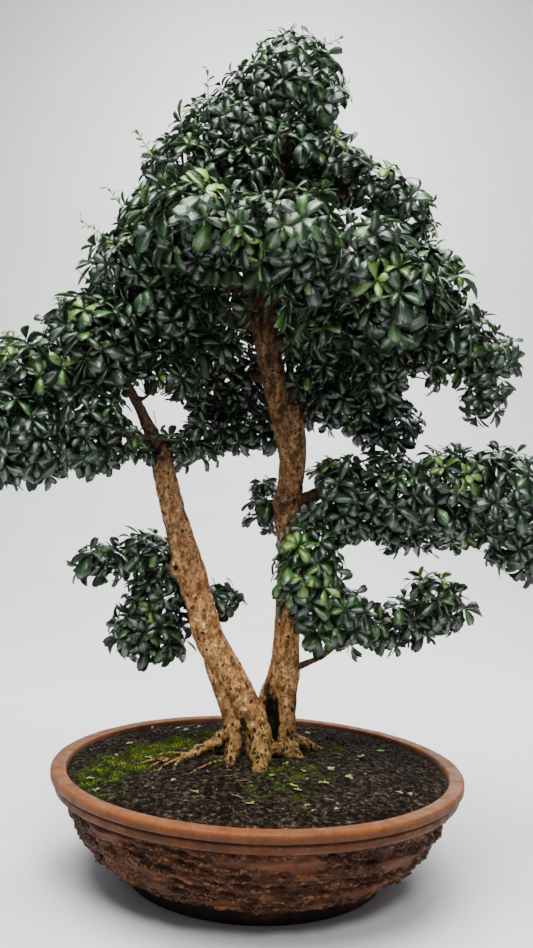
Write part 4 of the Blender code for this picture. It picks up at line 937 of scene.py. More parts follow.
# Gnarls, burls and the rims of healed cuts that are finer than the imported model: (x, y, z, radius)
GNARLS = [(-0.170, -0.006, 0.618, 0.0120), (-0.150, -0.014, 0.614, 0.0100), (-0.160, 0.008, 0.604, 0.0150),
          (-0.146, -0.010, 0.596, 0.0095), (-0.172, -0.008, 0.600, 0.0090), (-0.128, -0.022, 0.448, 0.0060),
          (-0.134, -0.018, 0.438, 0.0060), (-0.129, -0.022, 0.428, 0.0060), (-0.117, -0.024, 0.444, 0.0050),
          (0.014, 0.004, 0.546, 0.0110), (0.016, 0.002, 0.528, 0.0100), (0.034, -0.002, 0.552, 0.0120),
          (0.046, 0.006, 0.544, 0.0120), (0.048, 0.008, 0.524, 0.0110), (0.026, 0.000, 0.512, 0.0095),
          (0.046, 0.004, 0.504, 0.0085), (0.020, 0.006, 0.562, 0.0090), (-0.004, 0.010, 0.654, 0.0080),
          (0.034, 0.010, 0.650, 0.0090), (0.000, 0.006, 0.700, 0.0085), (-0.020, 0.006, 0.758, 0.0080),
          (0.008, 0.006, 0.748, 0.0080), (-0.076, -0.026, 0.356, 0.0070), (-0.104, -0.016, 0.402, 0.0070),
          (-0.052, -0.030, 0.298, 0.0080), (-0.098, -0.014, 0.470, 0.0065), (-0.136, -0.012, 0.548, 0.0060),
          (0.050, 0.004, 0.330, 0.0070), (0.026, 0.002, 0.300, 0.0090), (0.050, 0.004, 0.262, 0.0080),
          (0.020, 0.004, 0.270, 0.0080), (0.050, 0.000, 0.218, 0.0085), (0.030, -0.004, 0.190, 0.0090),
          (0.054, 0.002, 0.184, 0.0100), (-0.010, -0.036, 0.214, 0.0085), (0.006, -0.048, 0.198, 0.0090),
          (-0.006, -0.058, 0.178, 0.0080), (0.010, -0.064, 0.176, 0.0080), (0.004, -0.078, 0.166, 0.0080),
          (-0.040, -0.034, 0.206, 0.0080), (-0.034, -0.048, 0.186, 0.0070), (-0.042, -0.058, 0.172, 0.0070),
          (-0.048, -0.026, 0.232, 0.0080), (-0.058, -0.020, 0.196, 0.0080), (-0.074, -0.026, 0.182, 0.0068),
          (-0.090, -0.026, 0.178, 0.0062), (-0.106, -0.036, 0.170, 0.0060), (0.020, -0.024, 0.186, 0.0075),
          (-0.018, -0.040, 0.240, 0.0080), (-0.030, -0.034, 0.270, 0.0070), (0.000, -0.038, 0.232, 0.0085)]
# The back of the hollow between the trunks, filled in and painted black as shade
HOLLOW_BACK = [(0.010, 0.020, 0.180, 0.0150), (0.014, 0.022, 0.205, 0.0150), (0.014, 0.024, 0.232, 0.0140),
               (0.012, 0.026, 0.256, 0.0110), (-0.004, 0.014, 0.200, 0.0140), (-0.006, 0.014, 0.228, 0.0110)]

# The swelling down the right trunk's side, above its joint
SHOULDER = (8, [(0.030, 0.014, 0.690, 0.012), (0.039, 0.012, 0.640, 0.015), (0.040, 0.012, 0.590, 0.015),
                (0.036, 0.012, 0.545, 0.014)])

# Hollows, scars and cracks, pressed in and darkened with painted shade: (x, y, z, reach across, reach up, depth,
# darkness)
HOLLOWS = [(0.016, 0.010, 0.206, 0.0120, 0.036, 0.002, 1.0), (0.023, 0.003, 0.216, 0.0080, 0.038, 0.002, 1.0),
           (0.012, 0.014, 0.240, 0.0120, 0.026, 0.002, 1.0),
           (0.008, 0.004, 0.262, 0.0070, 0.014, 0.002, 0.9), (0.020, -0.004, 0.200, 0.0070, 0.022, 0.002, 0.9),
           (-0.127, -0.028, 0.438, 0.0062, 0.0066, 0.008, 1.0), (-0.119, -0.027, 0.434, 0.004, 0.004, 0.002, 0.9),
           (-0.022, 0.004, 0.828, 0.0050, 0.026, 0.004, 0.95), (-0.162, -0.022, 0.610, 0.009, 0.0085, 0.005, 1.0),
           (-0.152, -0.020, 0.598, 0.007, 0.004, 0.002, 0.9), (0.024, -0.006, 0.536, 0.006, 0.006, 0.003, 0.9),
           (0.040, -0.004, 0.534, 0.004, 0.016, 0.003, 0.9), (-0.143, -0.014, 0.556, 0.0035, 0.0045, 0.001, 0.9),
           (-0.112, -0.019, 0.502, 0.0035, 0.003, 0.001, 0.9), (0.052, 0.006, 0.245, 0.004, 0.020, 0.002, 0.7),
           (-0.038, -0.030, 0.300, 0.004, 0.028, 0.003, 0.7), (-0.056, -0.022, 0.336, 0.0035, 0.022, 0.002, 0.6),
           (-0.022, -0.030, 0.252, 0.0045, 0.030, 0.003, 0.85), (-0.024, -0.034, 0.212, 0.006, 0.016, 0.003, 0.9),
           (0.030, 0.002, 0.510, 0.006, 0.006, 0.002, 0.8), (-0.010, -0.044, 0.196, 0.0032, 0.010, 0.001, 0.8),
           (0.012, 0.000, 0.664, 0.008, 0.005, 0.001, 0.7), (-0.002, 0.000, 0.726, 0.004, 0.010, 0.001, 0.7)]


# Rough, darker bark: (x, y, z, radius, share)
CRUSTS = [(-0.166, -0.004, 0.612, 0.030, 0.75), (-0.160, 0.000, 0.590, 0.022, 0.40), (0.030, 0.014, 0.536, 0.045, 0.55),
          (0.034, 0.014, 0.600, 0.040, 0.35), (0.018, 0.014, 0.666, 0.034, 0.45), (0.052, 0.016, 0.230, 0.030, 0.35),
          (-0.070, 0.000, 0.260, 0.030, 0.30), (0.000, 0.010, 0.740, 0.060, 0.35), (-0.020, 0.012, 0.830, 0.050, 0.40),
          (-0.038, -0.030, 0.200, 0.030, 0.35), (0.040, 0.000, 0.180, 0.030, 0.35), (0.000, -0.060, 0.165, 0.026, 0.35)]


def weather(shape):
    """Gives the skin its long folds, lumps and hollows, and marks what is dark: painted shade in the grooves, the
    hollows and the gap between the trunks, and the darker crusts of bark.
    """
    shape.normal_update()
    tone = shape.verts.layers.float.new("dark")
    normals = [vertex.normal.copy() for vertex in shape.verts]
    crusts = [leant(crust) for crust in CRUSTS]
    hollows = [leant(hollow) for hollow in HOLLOWS]
    for vertex, normal in zip(shape.verts, normals):
        place = vertex.co.copy()
        folds = noise.noise(Vector((place.x * 62.0, place.y * 62.0, place.z * 11.0)))
        lumps = noise.noise(place * 52.0 + Vector((5, 1, 2)))
        fine = noise.fractal(Vector((place.x * 170.0, place.y * 170.0, place.z * 120.0)), 0.8, 2.0, 3)
        push = 0.0012 * folds + 0.0013 * lumps + 0.00060 * fine
        if place.z < 0.26:
            push *= 1.0 + 9.0 * (0.26 - place.z)
        if 0.50 < place.z < 0.57:
            push *= 1.8
        # Painted shade in the grooves between the folds low down, and between the lumps higher up.
        darkness = max(0.0, 0.9 * (-folds - 0.34)) if place.z < 0.36 else max(0.0, 0.8 * (-lumps - 0.42))
        for x, y, z, radius, share in crusts:
            near = 1.3 - (place - Vector((x, y, z))).length / radius
            if near > 0:
                darkness = max(darkness, share * min(1.0, near) * (0.75 + 0.9 * lumps + 1.1 * fine))
        # Each hollow is pressed in and filled with painted shade.
        for x, y, z, across, up, depth, dark in hollows:
            away = ((place.x - x) ** 2 + (place.y - y) ** 2) / across ** 2 + (place.z - z) ** 2 / up ** 2
            if away < 1.6:
                share = max(0.0, 1.0 - away / (1.2 + 0.5 * fine))
                push -= depth * share
                darkness = max(darkness, min(1.0, 2.4 * share) * dark)
        # Painted shade at the back of the hollow between the trunks.
        for x, y, z, radius in HOLLOW_BACK:
            away = (place - Vector((x, y, z))).length / radius
            if away < 1.25 and place.y < 0.03:
                darkness = max(darkness, min(1.0, 5.0 * (1.25 - away)))
        vertex.co = place + push * normal
        vertex[tone] = min(1.0, darkness)


def sunk(gnarls, lines):
    """The gnarls, each moved so that about half of it stands out of the nearest stem."""
    axis = [point for _, line in lines for point in between(line, 6)]
    tree = KDTree(len(axis))
    for index, point in enumerate(axis):
        tree.insert(point[:3], index)
    tree.balance()
    moved = []
    for x, y, z, radius in gnarls:
        middle, index, distance = tree.find((x, y, z))
        way = (Vector((x, y, z)) - middle).normalized()
        moved.append((*(middle + way * (axis[index][3] - 0.55 * radius)), radius))
    return moved


def make_wood(bark, branch_bark):
    """The two trunks with their roots, and the branches, as two skins that run into each other."""
    base = [line for group in (TRUNKS, ROOTS) for line in group.values()]
    trunks = wood_block([*base, SHOULDER], [*KNOTS.values(), *sunk(GNARLS, base), *HOLLOW_BACK], TRUNK_VOXEL)
    weather(trunks)
    make_piece("trunks_and_roots", trunks, bark, ["wood"])
    branches = wood_block(BRANCHES.values(), [], BRANCH_VOXEL)
    weather(branches)
    make_piece("branches", branches, branch_bark, ["wood"])


def make_rootlets(bark):
    """Thin roots that spread over the soil from the end of the left root and from the base."""
    draw = random.Random(SEED + 3)
    shape = bmesh.new()
    starts = [(-0.104, -0.033, 0.168), (-0.112, -0.037, 0.165), (-0.118, -0.040, 0.162), (-0.100, -0.030, 0.169)]
    routes = [[starts[0], (-0.112, -0.052, 0), (-0.116, -0.074, 0), (-0.114, -0.096, 0)],
              [starts[1], (-0.130, -0.052, 0), (-0.146, -0.066, 0), (-0.160, -0.088, 0)],
              [starts[2], (-0.136, -0.044, 0), (-0.158, -0.050, 0), (-0.182, -0.052, 0)],
              [starts[1], (-0.122, -0.056, 0), (-0.134, -0.078, 0), (-0.140, -0.106, 0)],
              [starts[3], (-0.116, -0.018, 0), (-0.136, -0.010, 0), (-0.158, -0.012, 0)],
              [(-0.050, 0.014, 0.170), (-0.070, 0.044, 0), (-0.084, 0.070, 0), (-0.082, 0.094, 0)],
              [(-0.030, -0.030, 0.166), (-0.062, -0.062, 0), (-0.080, -0.090, 0), (-0.100, -0.112, 0)]]
    for route in routes:
        line = []
        for index, (x, y, z) in enumerate(route):
            height = z if index == 0 else soil_height(x, y) + (0.0016 if index < 3 else -0.003)
            line.append((x, y, height, (0.0030, 0.0021, 0.0016, 0.0007)[index] * draw.uniform(0.85, 1.15)))
        shape.from_mesh(stem(line, 8, 5))
    tone = shape.verts.layers.float.new("dark")
    for vertex in shape.verts:
        vertex.co += 0.0007 * noise.noise_vector(vertex.co * 110.0)
        vertex[tone] = max(0.0, 0.6 * noise.noise(vertex.co * 240.0))
    return make_piece("rootlets", shape, bark)


# Leaves


def blade_shape(bend, fold, width=0.62, rows=5):
    """A spoon-shaped leaf along +Y, one unit long, as a thin closed shell with its upper side to +Z."""
    shape = bmesh.new()
    bmesh.ops.create_grid(shape, x_segments=2, y_segments=rows - 1, size=1.0, calc_uvs=False)
    map_layer = shape.loops.layers.uv.new("blade")
    under = shape.faces.layers.float.new("under")
    for face in shape.faces:
        for loop in face.loops:
            loop[map_layer].uv = ((loop.vert.co.x + 1) / 2, (loop.vert.co.y + 1) / 2)
    for vertex in shape.verts:
        side, share = vertex.co.x, (vertex.co.y + 1) / 2
        along = 1.0 - (1.0 - share) ** 1.35
        spread = 0.12 + 0.88 * math.sin(math.pi / 2 * min(1.0, max(0.0, (along - 0.03) / 0.60))) ** 1.35
        if along > 0.68:
            spread *= math.sqrt(max(0.21, 1.0 - ((along - 0.68) / 0.335) ** 2))
        half = width / 2 * spread
        reach = along - (0.035 if share > 0.99 and side == 0 else 0.0)
        turn = bend * reach
        vertex.co = (side * half * math.cos(fold), reach - turn * turn * reach / 6,
                     abs(side) * half * math.sin(fold) - turn * reach / 2 - 0.05 * abs(side) * share ** 3)
    made = bmesh.ops.duplicate(shape, geom=shape.verts[:] + shape.edges[:] + shape.faces[:])
    lower = [face for face in made["geom"] if isinstance(face, bmesh.types.BMFace)]
    bmesh.ops.reverse_faces(shape, faces=lower)
    for face in lower:
        face[under] = 1.0
    inner = {vertex for face in lower for vertex in face.verts if not vertex.is_boundary}
    for vertex in inner:
        vertex.co.z -= 0.030
    bmesh.ops.remove_doubles(shape, verts=[v for v in shape.verts if v.is_boundary], dist=0.0001)
    return shape


def outside(points, ellipsoid):
    """About how far points lie outside an ellipsoid, negative inside."""
    centre, radii = ellipsoid
    return (np.linalg.norm((points - np.array(centre)) / np.array(radii), axis=-1) - 1.0) * min(radii)


def spread_ways(count, draw):
    """Directions spread evenly over a ball, in a random turn."""
    turn = draw.uniform(0, math.tau)
    for index in range(count):
        height = 1.0 - 2.0 * (index + 0.5) / count
        across = math.sqrt(1.0 - height * height)
        angle = index * GOLDEN_TURN + turn
        yield Vector((across * math.cos(angle), across * math.sin(angle), height))


# Sprays of leaves that hang from a pad in front of the wood: ellipsoids as (centre, radii)
SPRAYS = {
    "front_dome": [((-0.016, -0.042, 0.862), (0.042, 0.034, 0.032)), ((0.020, -0.050, 0.824), (0.032, 0.030, 0.034)),
                   ((0.008, -0.086, 0.830), (0.034, 0.032, 0.034))],
    "front_right": [((0.034, -0.130, 0.842), (0.056, 0.050, 0.044)), ((0.086, -0.092, 0.800), (0.058, 0.050, 0.046)),
                    ((0.048, -0.052, 0.812), (0.040, 0.034, 0.040))],
    "right_mid": [((0.064, -0.014, 0.724), (0.042, 0.040, 0.040)), ((0.080, -0.040, 0.764), (0.044, 0.040, 0.040)),
                  ((0.042, -0.036, 0.776), (0.030, 0.030, 0.030))],
    "upper_left": [((-0.064, -0.058, 0.826), (0.048, 0.044, 0.040)), ((-0.090, -0.030, 0.770), (0.044, 0.040, 0.036))],
    "left_inner": [((-0.118, -0.010, 0.640), (0.036, 0.034, 0.030)), ((-0.104, 0.010, 0.602), (0.034, 0.030, 0.028)),
                   ((-0.194, -0.018, 0.612), (0.032, 0.030, 0.026))],
    "front_pad": [((0.036, -0.062, 0.486), (0.026, 0.030, 0.030))],
}
# Where the photograph shows bare wood or the backdrop between pads: (x, z, radius) on the plane y = 0
GAPS = [(0.052, 0.566, 0.034), (0.040, 0.540, 0.022), (-0.166, 0.586, 0.020), (-0.181, 0.680, 0.044),
        (-0.146, 0.668, 0.036),
        (-0.206, 0.668, 0.032), (0.351, 0.440, 0.026), (0.090, 1.124, 0.024),
        (-0.012, 0.611, 0.024),
        (0.031, 0.990, 0.018), (0.064, 0.990, 0.021), (0.098, 0.988, 0.024), (0.129, 0.982, 0.024),
        (0.215, 0.721, 0.028), (0.137, 1.095, 0.034), (0.163, 0.324, 0.016), (0.110, 1.150, 0.020)]


# How far each pad's leaves sit from its ellipsoids, so that the outline meets the photograph's
NUDGES = {"right_low_pad": (0.003, 0, 0.005), "front_pad": (0.010, 0, 0.001), "right_pad": (-0.003, 0, 0.001),
          "left_low_pad": (0.010, 0, 0.002), "right_tip": (-0.014, 0, 0.003), "right_upper": (-0.014, 0, 0.000),
          "crown_apex": (0.010, 0, 0.007), "behind_pad": (0.009, 0, 0), "left_lower": (0.0, 0, -0.005),
          "back_low": (0.0, 0, 0.006), "upper_left": (0.006, 0, -0.002), "crown_left": (0.008, 0, -0.003),
          "crown_right": (-0.006, 0, -0.003)}
# Leaf size and added brightness of pads that differ from the rest; the brightness is painted light on the lit pads in
# front and painted shade on the shaded ones
LOOKS = {"front_dome": (1.12, 0.20), "front_right": (1.10, 0.12), "front_pad": (1.0, 0.14), "crown_apex": (0.92, 0.08),
         "right_pad": (1.0, -0.12), "right_low_pad": (0.94, -0.05), "left_upper": (1.0, -0.05),
         "left_lower": (1.0, -0.12), "left_low_pad": (0.96, -0.08), "left_inner": (0.90, -0.20),
         "right_mid": (0.94, -0.12), "back_low": (0.90, -0.20), "behind_pad": (0.9, -0.1), "crown_left": (0.95, 0.0),
         "crown_right": (0.95, 0.0), "right_tip": (0.94, 0.0)}
# Rosettes stand in an outer and an inner coat: how deep under the pad's surface, and how far from each other
OUTER_INSET, OUTER_GAP = 0.021, 0.0262
INNER_INSET, INNER_GAP = 0.044, 0.033
# How deep the outer rosettes sit where it isn't the usual OUTER_INSET
INSETS = {"right_pad": 0.012, "front_pad": 0.014, "right_low_pad": 0.015, "crown_apex": 0.017, "left_low_pad": 0.016,
          "behind_pad": 0.016, "left_lower": 0.017, "crown_left": 0.028, "crown_right": 0.030, "crown_mid": 0.030,
          "upper_left": 0.025, "right_upper": 0.026}


class Spacing:
    """Keeps places apart from each other."""

    def __init__(self):
        self.cells = {}

    def crowded(self, place, gap):
        """Whether a place is taken already. If not, it's taken from now on."""
        cell = tuple(int(math.floor(part / 0.04)) for part in place)
        steps = (-1, 0, 1)
        near = [other for dx in steps for dy in steps for dz in steps
                for other in self.cells.get((cell[0] + dx, cell[1] + dy, cell[2] + dz), ())]
        if any((other - place).length < gap for other in near):
            return True
        self.cells.setdefault(cell, []).append(place)
        return False


def rosette_places(draw):
    """(pad, ellipsoid, place, way out, depth) of each leaf rosette: an outer coat on every pad, and an inner one."""
    trunks = [point for _, line in TRUNKS.values() for point in between(line, 6)]
    tree = KDTree(len(trunks))
    for index, point in enumerate(trunks):
        tree.insert(point[:3], index)
    tree.balance()
    full = {pad: [*group, *SPRAYS.get(pad, ())] for pad, group in PADS.items()}
    everything = [(pad, ellipsoid) for pad, group in full.items() for ellipsoid in group]
    spacing = Spacing()
    found = []
    for usual, gap, tries in ((OUTER_INSET, OUTER_GAP, 560), (INNER_INSET, INNER_GAP, 240)):
        for pad, ellipsoid in everything:
            inset = INSETS.get(pad, usual) if gap == OUTER_GAP else usual
            centre, radii = Vector(ellipsoid[0]), ellipsoid[1]
            for way in spread_ways(tries, draw):
                reach = Vector([part * radius for part, radius in zip(way, radii)])
                uneven = 1.0 + 0.9 * noise.noise(10.0 * (centre + reach))
                depth = 1.0 - inset * uneven * draw.uniform(0.7, 1.3) / reach.length
                if depth < 0.25:
                    continue
                place = centre + depth * reach + Vector(NUDGES.get(pad, (0, 0, 0)))
                point = np.array(place)
                mine = min(outside(point, other) for other in full[pad])
                if mine < -2.4 * inset:
                    continue
                if min(outside(point, other) for name, other in everything if name != pad) < mine - 0.012:
                    continue
                seen = CAMERA_PLACE + (place - CAMERA_PLACE) * (CAMERA_PLACE.y / (CAMERA_PLACE.y - place.y))
                if any(math.hypot(seen.x - x, seen.z - z) < radius for x, z, radius in GAPS):
                    continue
                _, index, distance = tree.find(place)
                if distance < trunks[index][3] + 0.011 or spacing.crowded(place, gap):
                    continue
                out = Vector([part / radius for part, radius in zip(way, radii)]).normalized()
                found.append((pad, ellipsoid, place, out, 1.0 if gap == OUTER_GAP else 0.3))
    return found


# Bright new growth in the photograph: (x, y, z, reach)
NEW_GROWTH = [(-0.010, -0.200, 0.880, 0.024), (0.150, -0.150, 0.826, 0.026), (0.060, -0.110, 0.448, 0.018),
              (0.088, -0.105, 0.440, 0.018), (0.052, -0.110, 0.482, 0.018), (0.110, -0.090, 0.428, 0.018),
              (-0.300, -0.110, 0.700, 0.024), (0.244, -0.020, 0.432, 0.026), (0.262, -0.110, 0.596, 0.022),
              (-0.385, -0.090, 0.600, 0.024), (-0.100, -0.180, 0.960, 0.028)]


def youth(place, out, draw):
    """How young a rosette's leaves are, from 0 to 1. Young ones are commoner on top, in the light."""
    for x, y, z, reach in NEW_GROWTH:
        if (Vector((x, y, z)) - place).length < reach:
            return draw.uniform(0.50, 0.95)
    chance = 0.06 + 0.22 * max(0.0, out.z)
    return draw.uniform(0.15, 0.60) if draw.random() < chance else 0.0


def lay_rosette(shape, blades, place, axis, draw, young, outer, looks):
    """Six to nine leaves round a shoot tip, the outer ones longer and lying flatter, with new ones in the middle."""
    count = draw.choice((6, 6, 7, 7, 8, 9)) if outer else draw.choice((4, 5, 5, 6))
    base_turn = draw.uniform(0, math.tau)
    side = axis.orthogonal().normalized()
    big = looks[0] * draw.choice((0.85, 0.92, 1.0, 1.0, 1.08, 1.22))
    for index in range(count):
        share = (index + 0.5) / count
        radial = Matrix.Rotation(base_turn + index * GOLDEN_TURN + draw.uniform(-0.35, 0.35), 3, axis) @ side
        tilt = math.radians(92 - 56 * share ** 1.3 + draw.uniform(-20, 20))
        along = axis * math.cos(tilt) + radial * math.sin(tilt) + Vector((0, 0, draw.uniform(-0.45, 0.05)))
        upper = axis * math.sin(tilt) - radial * math.cos(tilt) + Vector((0, 0, 0.30))
        upper = upper + 0.35 * Vector([draw.uniform(-1, 1) for _ in range(3)])
        length = big * draw.uniform(0.027, 0.039) * (1.0 - 0.48 * share ** 1.4)
        start = place + axis * (0.007 * share - 0.003) + along * 0.0010
        wide = length * draw.uniform(0.85, 1.15)
        new = min(1.0, 1.1 * young * max(0.0, (share - 0.30) / 0.70) ** 0.8)
        # Tone: random, with painted light on rosettes that face up, painted shade on the inner coat, and the pad's own
        # painted light or shade.
        tone = min(1.0, max(0.0, draw.gauss(0.40, 0.27) + looks[1] + 0.30 * axis.z - (0.0 if outer else 0.30)))
        draw.choice(blades).lay(shape, facing(start, along, upper, (wide, length, length)), age=new, tone=tone)


def make_leaves(leaf, bark):
    """The rosettes of every pad, and the twigs that carry them."""
    draw = random.Random(SEED + 4)
    blades = [Pattern(blade_shape(bend, fold, width), ("age", "tone"))
              for bend, fold, width in ((0.45, 0.20, 0.53), (0.80, 0.16, 0.50), (1.10, 0.22, 0.55),
                                        (0.25, 0.28, 0.47), (0.90, 0.08, 0.56))]
    twig = Pattern(twig_shape(), ("dark",))
    shapes = {pad: bmesh.new() for pad in PADS}
    twigs = bmesh.new()
    for pad, ellipsoid, place, out, outer in rosette_places(draw):
        loose = Vector([draw.uniform(-1, 1) for _ in range(3)])
        axis = (0.75 * out + Vector((0, 0, 0.34)) + 0.40 * loose).normalized()
        lay_rosette(shapes[pad], blades, place, axis, draw, youth(place, out, draw), outer > 0.5,
                    LOOKS.get(pad, (1.0, 0.0)))
        centre = Vector(ellipsoid[0])
        root = centre + 0.30 * (place - centre) + Vector((0, 0, -0.010))
        reach = place - root
        thick = draw.uniform(0.0006, 0.0011)
        place_twig = facing(root, reach, Vector((0, 0, 1)), (thick, reach.length, thick))
        twig.lay(twigs, place_twig, dark=draw.uniform(0.3, 0.8))
    for pad, shape in shapes.items():
        make_piece("leaves_" + pad, shape, leaf, ["foliage_" + pad])
    for line in fork_lines():
        twigs.from_mesh(stem(line, 6, 3))
    make_piece("twigs", twigs, bark)


def twig_shape():
    """A thin tapering twig along +Y, one unit long."""
    shape = bmesh.new()
    bmesh.ops.create_cone(shape, cap_ends=True, segments=4, radius1=1.3, radius2=0.7, depth=1.0,
                          matrix=Matrix.Translation((0, 0.5, 0)) @ Matrix.Rotation(-math.pi / 2, 4, "X"))
    return shape


def fork_lines():
    """Twigs to the middle of every ellipsoid, from the nearest wood or the pad's ellipsoid before it."""
    wood = [point for group in (TRUNKS, BRANCHES) for _, line in group.values() for point in between(line, 6)]
    tree = KDTree(len(wood))
    for index, point in enumerate(wood):
        tree.insert(point[:3], index)
    tree.balance()
    lines = []
    for pad, group in PADS.items():
        reached = []
        for centre, _ in [*group, *SPRAYS.get(pad, ())]:
            centre = Vector(centre)
            start, index, distance = tree.find(centre)
            thick = min(0.0036, 0.8 * wood[index][3])
            for other in reached:
                if (other - centre).length < distance:
                    start, distance, thick = other, (other - centre).length, 0.0024
            if distance > 0.012:
                middle = (centre + start) / 2 + Vector((0, 0, -0.10 * distance))
                lines.append([(*start, thick), (*middle, 0.0026), (*centre, 0.0020)])
            reached.append(centre)
    return lines


# Thin young shoots that stand out of the crown: (points, thickness)
SHOOTS = [[(-0.113, 0.010, 1.120), (-0.116, 0.000, 1.160), (-0.118, -0.002, 1.197)],
          [(-0.196, 0.004, 1.060), (-0.210, 0.002, 1.080), (-0.221, 0.000, 1.096)],
          [(-0.212, -0.044, 0.950), (-0.234, -0.050, 0.968), (-0.252, -0.052, 0.990)],
          [(-0.246, -0.048, 0.914), (-0.268, -0.052, 0.928), (-0.290, -0.054, 0.940)],
          [(0.040, 0.030, 1.240), (0.060, 0.030, 1.258), (0.082, 0.030, 1.270)],
          [(0.205, -0.032, 0.910), (0.220, -0.032, 0.926), (0.230, -0.030, 0.944)],
          [(-0.350, -0.048, 0.742), (-0.376, -0.050, 0.754), (-0.400, -0.050, 0.764)],
          [(-0.010, 0.034, 1.246), (-0.008, 0.034, 1.260), (-0.004, 0.034, 1.272)],
          [(0.150, 0.110, 0.880), (0.160, 0.124, 0.902), (0.164, 0.132, 0.924)],
          [(-0.150, 0.160, 0.940), (-0.160, 0.172, 0.958), (-0.170, 0.178, 0.975)]]


def make_shoots(leaf):
    """Young shoots with small pale leaves in pairs."""
    draw = random.Random(SEED + 5)
    blade = Pattern(blade_shape(0.3, 0.3, 0.5, rows=4), ("age", "tone"))
    shape = bmesh.new()
    stems = bmesh.new()
    for points in SHOOTS:
        line = [(*point, thick) for point, thick in zip(points, (0.0013, 0.0010, 0.0007))]
        stems.from_mesh(stem(line, 6, 4))
        path = [Vector(point[:3]) for point in between(line, 4)]
        for index in range(3, len(path)):
            way = (path[index] - path[index - 1]).normalized()
            side = Matrix.Rotation(index * 1.9, 3, way) @ way.orthogonal().normalized()
            for sign in (1, -1) if index % 2 else (1,):
                along = way * 0.75 + sign * side
                length = draw.uniform(0.008, 0.014)
                blade.lay(shape, facing(path[index], along, way, (length, length, length)),
                          age=draw.uniform(0.7, 1.0), tone=draw.uniform(0.3, 0.9))
    tones = {name: stems.verts.layers.float.new(name) for name in ("age", "tone")}
    for vertex in stems.verts:
        vertex[tones["age"]] = 0.9
        vertex[tones["tone"]] = 0.4
    mesh = bpy.data.meshes.new("shoot_stems")
    stems.to_mesh(mesh)
    stems.free()
    shape.from_mesh(mesh)
    return make_piece("young_shoots", shape, leaf)


# Seedlings on the soil: (x, y)
SEEDLINGS = [(0.153, 0.012), (0.048, -0.141), (0.054, -0.153), (-0.007, -0.204), (0.064, -0.199), (-0.212, -0.153),
             (0.039, -0.050), (0.103, -0.061), (-0.228, -0.110), (-0.160, -0.030), (0.090, -0.120), (0.128, -0.090),
             (0.020, -0.110), (-0.120, 0.150), (0.080, 0.160), (0.190, 0.070), (-0.080, -0.170), (-0.200, 0.060)]


def make_seedlings(leaf):
    """Small weeds with four or five round leaves."""
    draw = random.Random(SEED + 6)
    blade = Pattern(blade_shape(0.5, 0.25, 0.8, rows=4), ("age", "tone"))
    shape = bmesh.new()
    for x, y in SEEDLINGS:
        base = Vector((x, y, soil_height(x, y) + 0.0005))
        turn = draw.uniform(0, math.tau)
        for index in range(draw.choice((4, 5, 6))):
            angle = turn + index * 2.4
            along = Vector((math.cos(angle), math.sin(angle), draw.uniform(0.25, 0.9)))
            length = draw.uniform(0.004, 0.008)
            blade.lay(shape, facing(base, along, Vector((0, 0, 1)), (length, length, length)),
                      age=1.0, tone=draw.uniform(0.4, 1.0))
    return make_piece("seedlings", shape, leaf)


# Stage


# Soft lights: (name, place, what it faces, width, watts)
LIGHTS = [("overhead", (-0.3, -0.5, 2.7), (0, 0, 0.6), 2.2, 185), ("key", (0.5, -2.0, 2.5), (0, 0, 0.4), 0.8, 40),
          ("rim", (0.8, 1.9, 2.2), (0, 0, 0.6), 1.6, 45), ("backdrop", (0, 2.2, 3.4), (0, 4.4, 1.4), 1.6, 150)]


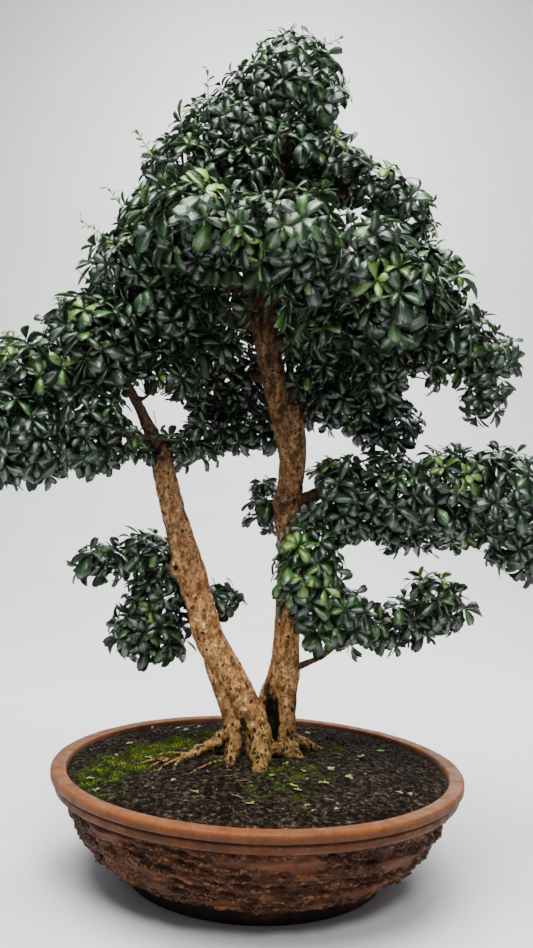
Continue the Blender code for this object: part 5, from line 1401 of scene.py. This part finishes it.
def make_stage():
    """A pale floor that sweeps up behind the tree, soft lights, and the photograph's camera."""
    scene = bpy.context.scene
    shape = bmesh.new()
    bmesh.ops.create_grid(shape, x_segments=1, y_segments=1, size=6.0, matrix=Matrix.Translation((0, -1.5, 0)))
    back = [edge for edge in shape.edges if all(vertex.co.y > 0 for vertex in edge.verts)]
    made = bmesh.ops.extrude_edge_only(shape, edges=back)
    bmesh.ops.translate(shape, verts=[v for v in made["geom"] if isinstance(v, bmesh.types.BMVert)], vec=(0, 0, 6))
    bmesh.ops.bevel(shape, geom=back, offset=2.5, segments=24, profile=0.5, affect="EDGES", material=-1)
    bmesh.ops.recalc_face_normals(shape, faces=shape.faces)
    floor = loose_object("studio_floor", shape)
    floor.data.shade_smooth()
    made, nodes, links, shader = new_finish("studio paper", 0.9, 0.1)
    paper = ramp(nodes, links, noise_map(nodes, links, stretched(nodes, links, (1, 1, 1)), 3, 2), [
        (0.3, (0.78, 0.78, 0.79)), (0.7, (0.82, 0.82, 0.83))])
    links.new(paper, shader.inputs["Base Color"])
    floor.data.materials.append(made)
    floor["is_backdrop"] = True

    world = bpy.data.worlds.new("studio")
    world.use_nodes = True
    world.node_tree.nodes["Background"].inputs["Color"].default_value = (0.82, 0.88, 1.0, 1.0)
    world.node_tree.nodes["Background"].inputs["Strength"].default_value = 0.26
    scene.world = world
    for name, place, target, size, power in LIGHTS:
        lamp = bpy.data.lights.new(name, "AREA")
        lamp.shape = "DISK"
        lamp.size = size
        lamp.energy = power
        light = bpy.data.objects.new(name, lamp)
        scene.collection.objects.link(light)
        aim = Vector(target) - Vector(place)
        light.matrix_world = Matrix.Translation(place) @ aim.to_track_quat("-Z", "Y").to_matrix().to_4x4()

    pitch, yaw, roll = (math.radians(angle) for angle in (2.30, -0.17, 2.24))
    ahead = Vector((math.sin(yaw) * math.cos(pitch), math.cos(yaw) * math.cos(pitch), math.sin(pitch)))
    level = Vector((math.cos(yaw), -math.sin(yaw), 0.0))
    upright = level.cross(ahead)
    right = level * math.cos(roll) + upright * math.sin(roll)
    up = upright * math.cos(roll) - level * math.sin(roll)
    lens = bpy.data.cameras.new("camera")
    lens.sensor_fit = "AUTO"
    lens.sensor_width = 36.0
    lens.lens = 36.0 * 900.0 / 948.0
    camera = bpy.data.objects.new("camera", lens)
    scene.collection.objects.link(camera)
    camera.matrix_world = Matrix.Translation(CAMERA_PLACE) @ Matrix((right, up, -ahead)).transposed().to_4x4()
    scene.camera = camera


clay = clay_finish()
earth = soil_finish()
bark = bark_finish("bark", 0.0)
branch_bark = bark_finish("branch bark", 0.8)
leaf = leaf_finish()
make_stage()
make_pot(clay)
make_soil(earth)
make_crumbs(crumb_finish())
make_litter(bpy.data.materials["soil crumbs"])
make_moss(moss_finish())
make_seedlings(leaf)
make_wood(bark, branch_bark)
make_rootlets(bark)
make_leaves(leaf, branch_bark)
make_shoots(leaf)
screen_mesh = screen_finish()
for number in (1, 2, 3):
    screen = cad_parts[f"drainage_screen_{number}"]
    screen.data.materials.clear()
    screen.data.materials.append(screen_mesh)

boxes = {"cad": cad_box, "visual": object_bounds()}
{name: [list(corner) for corner in box] for name, box in boxes.items()}
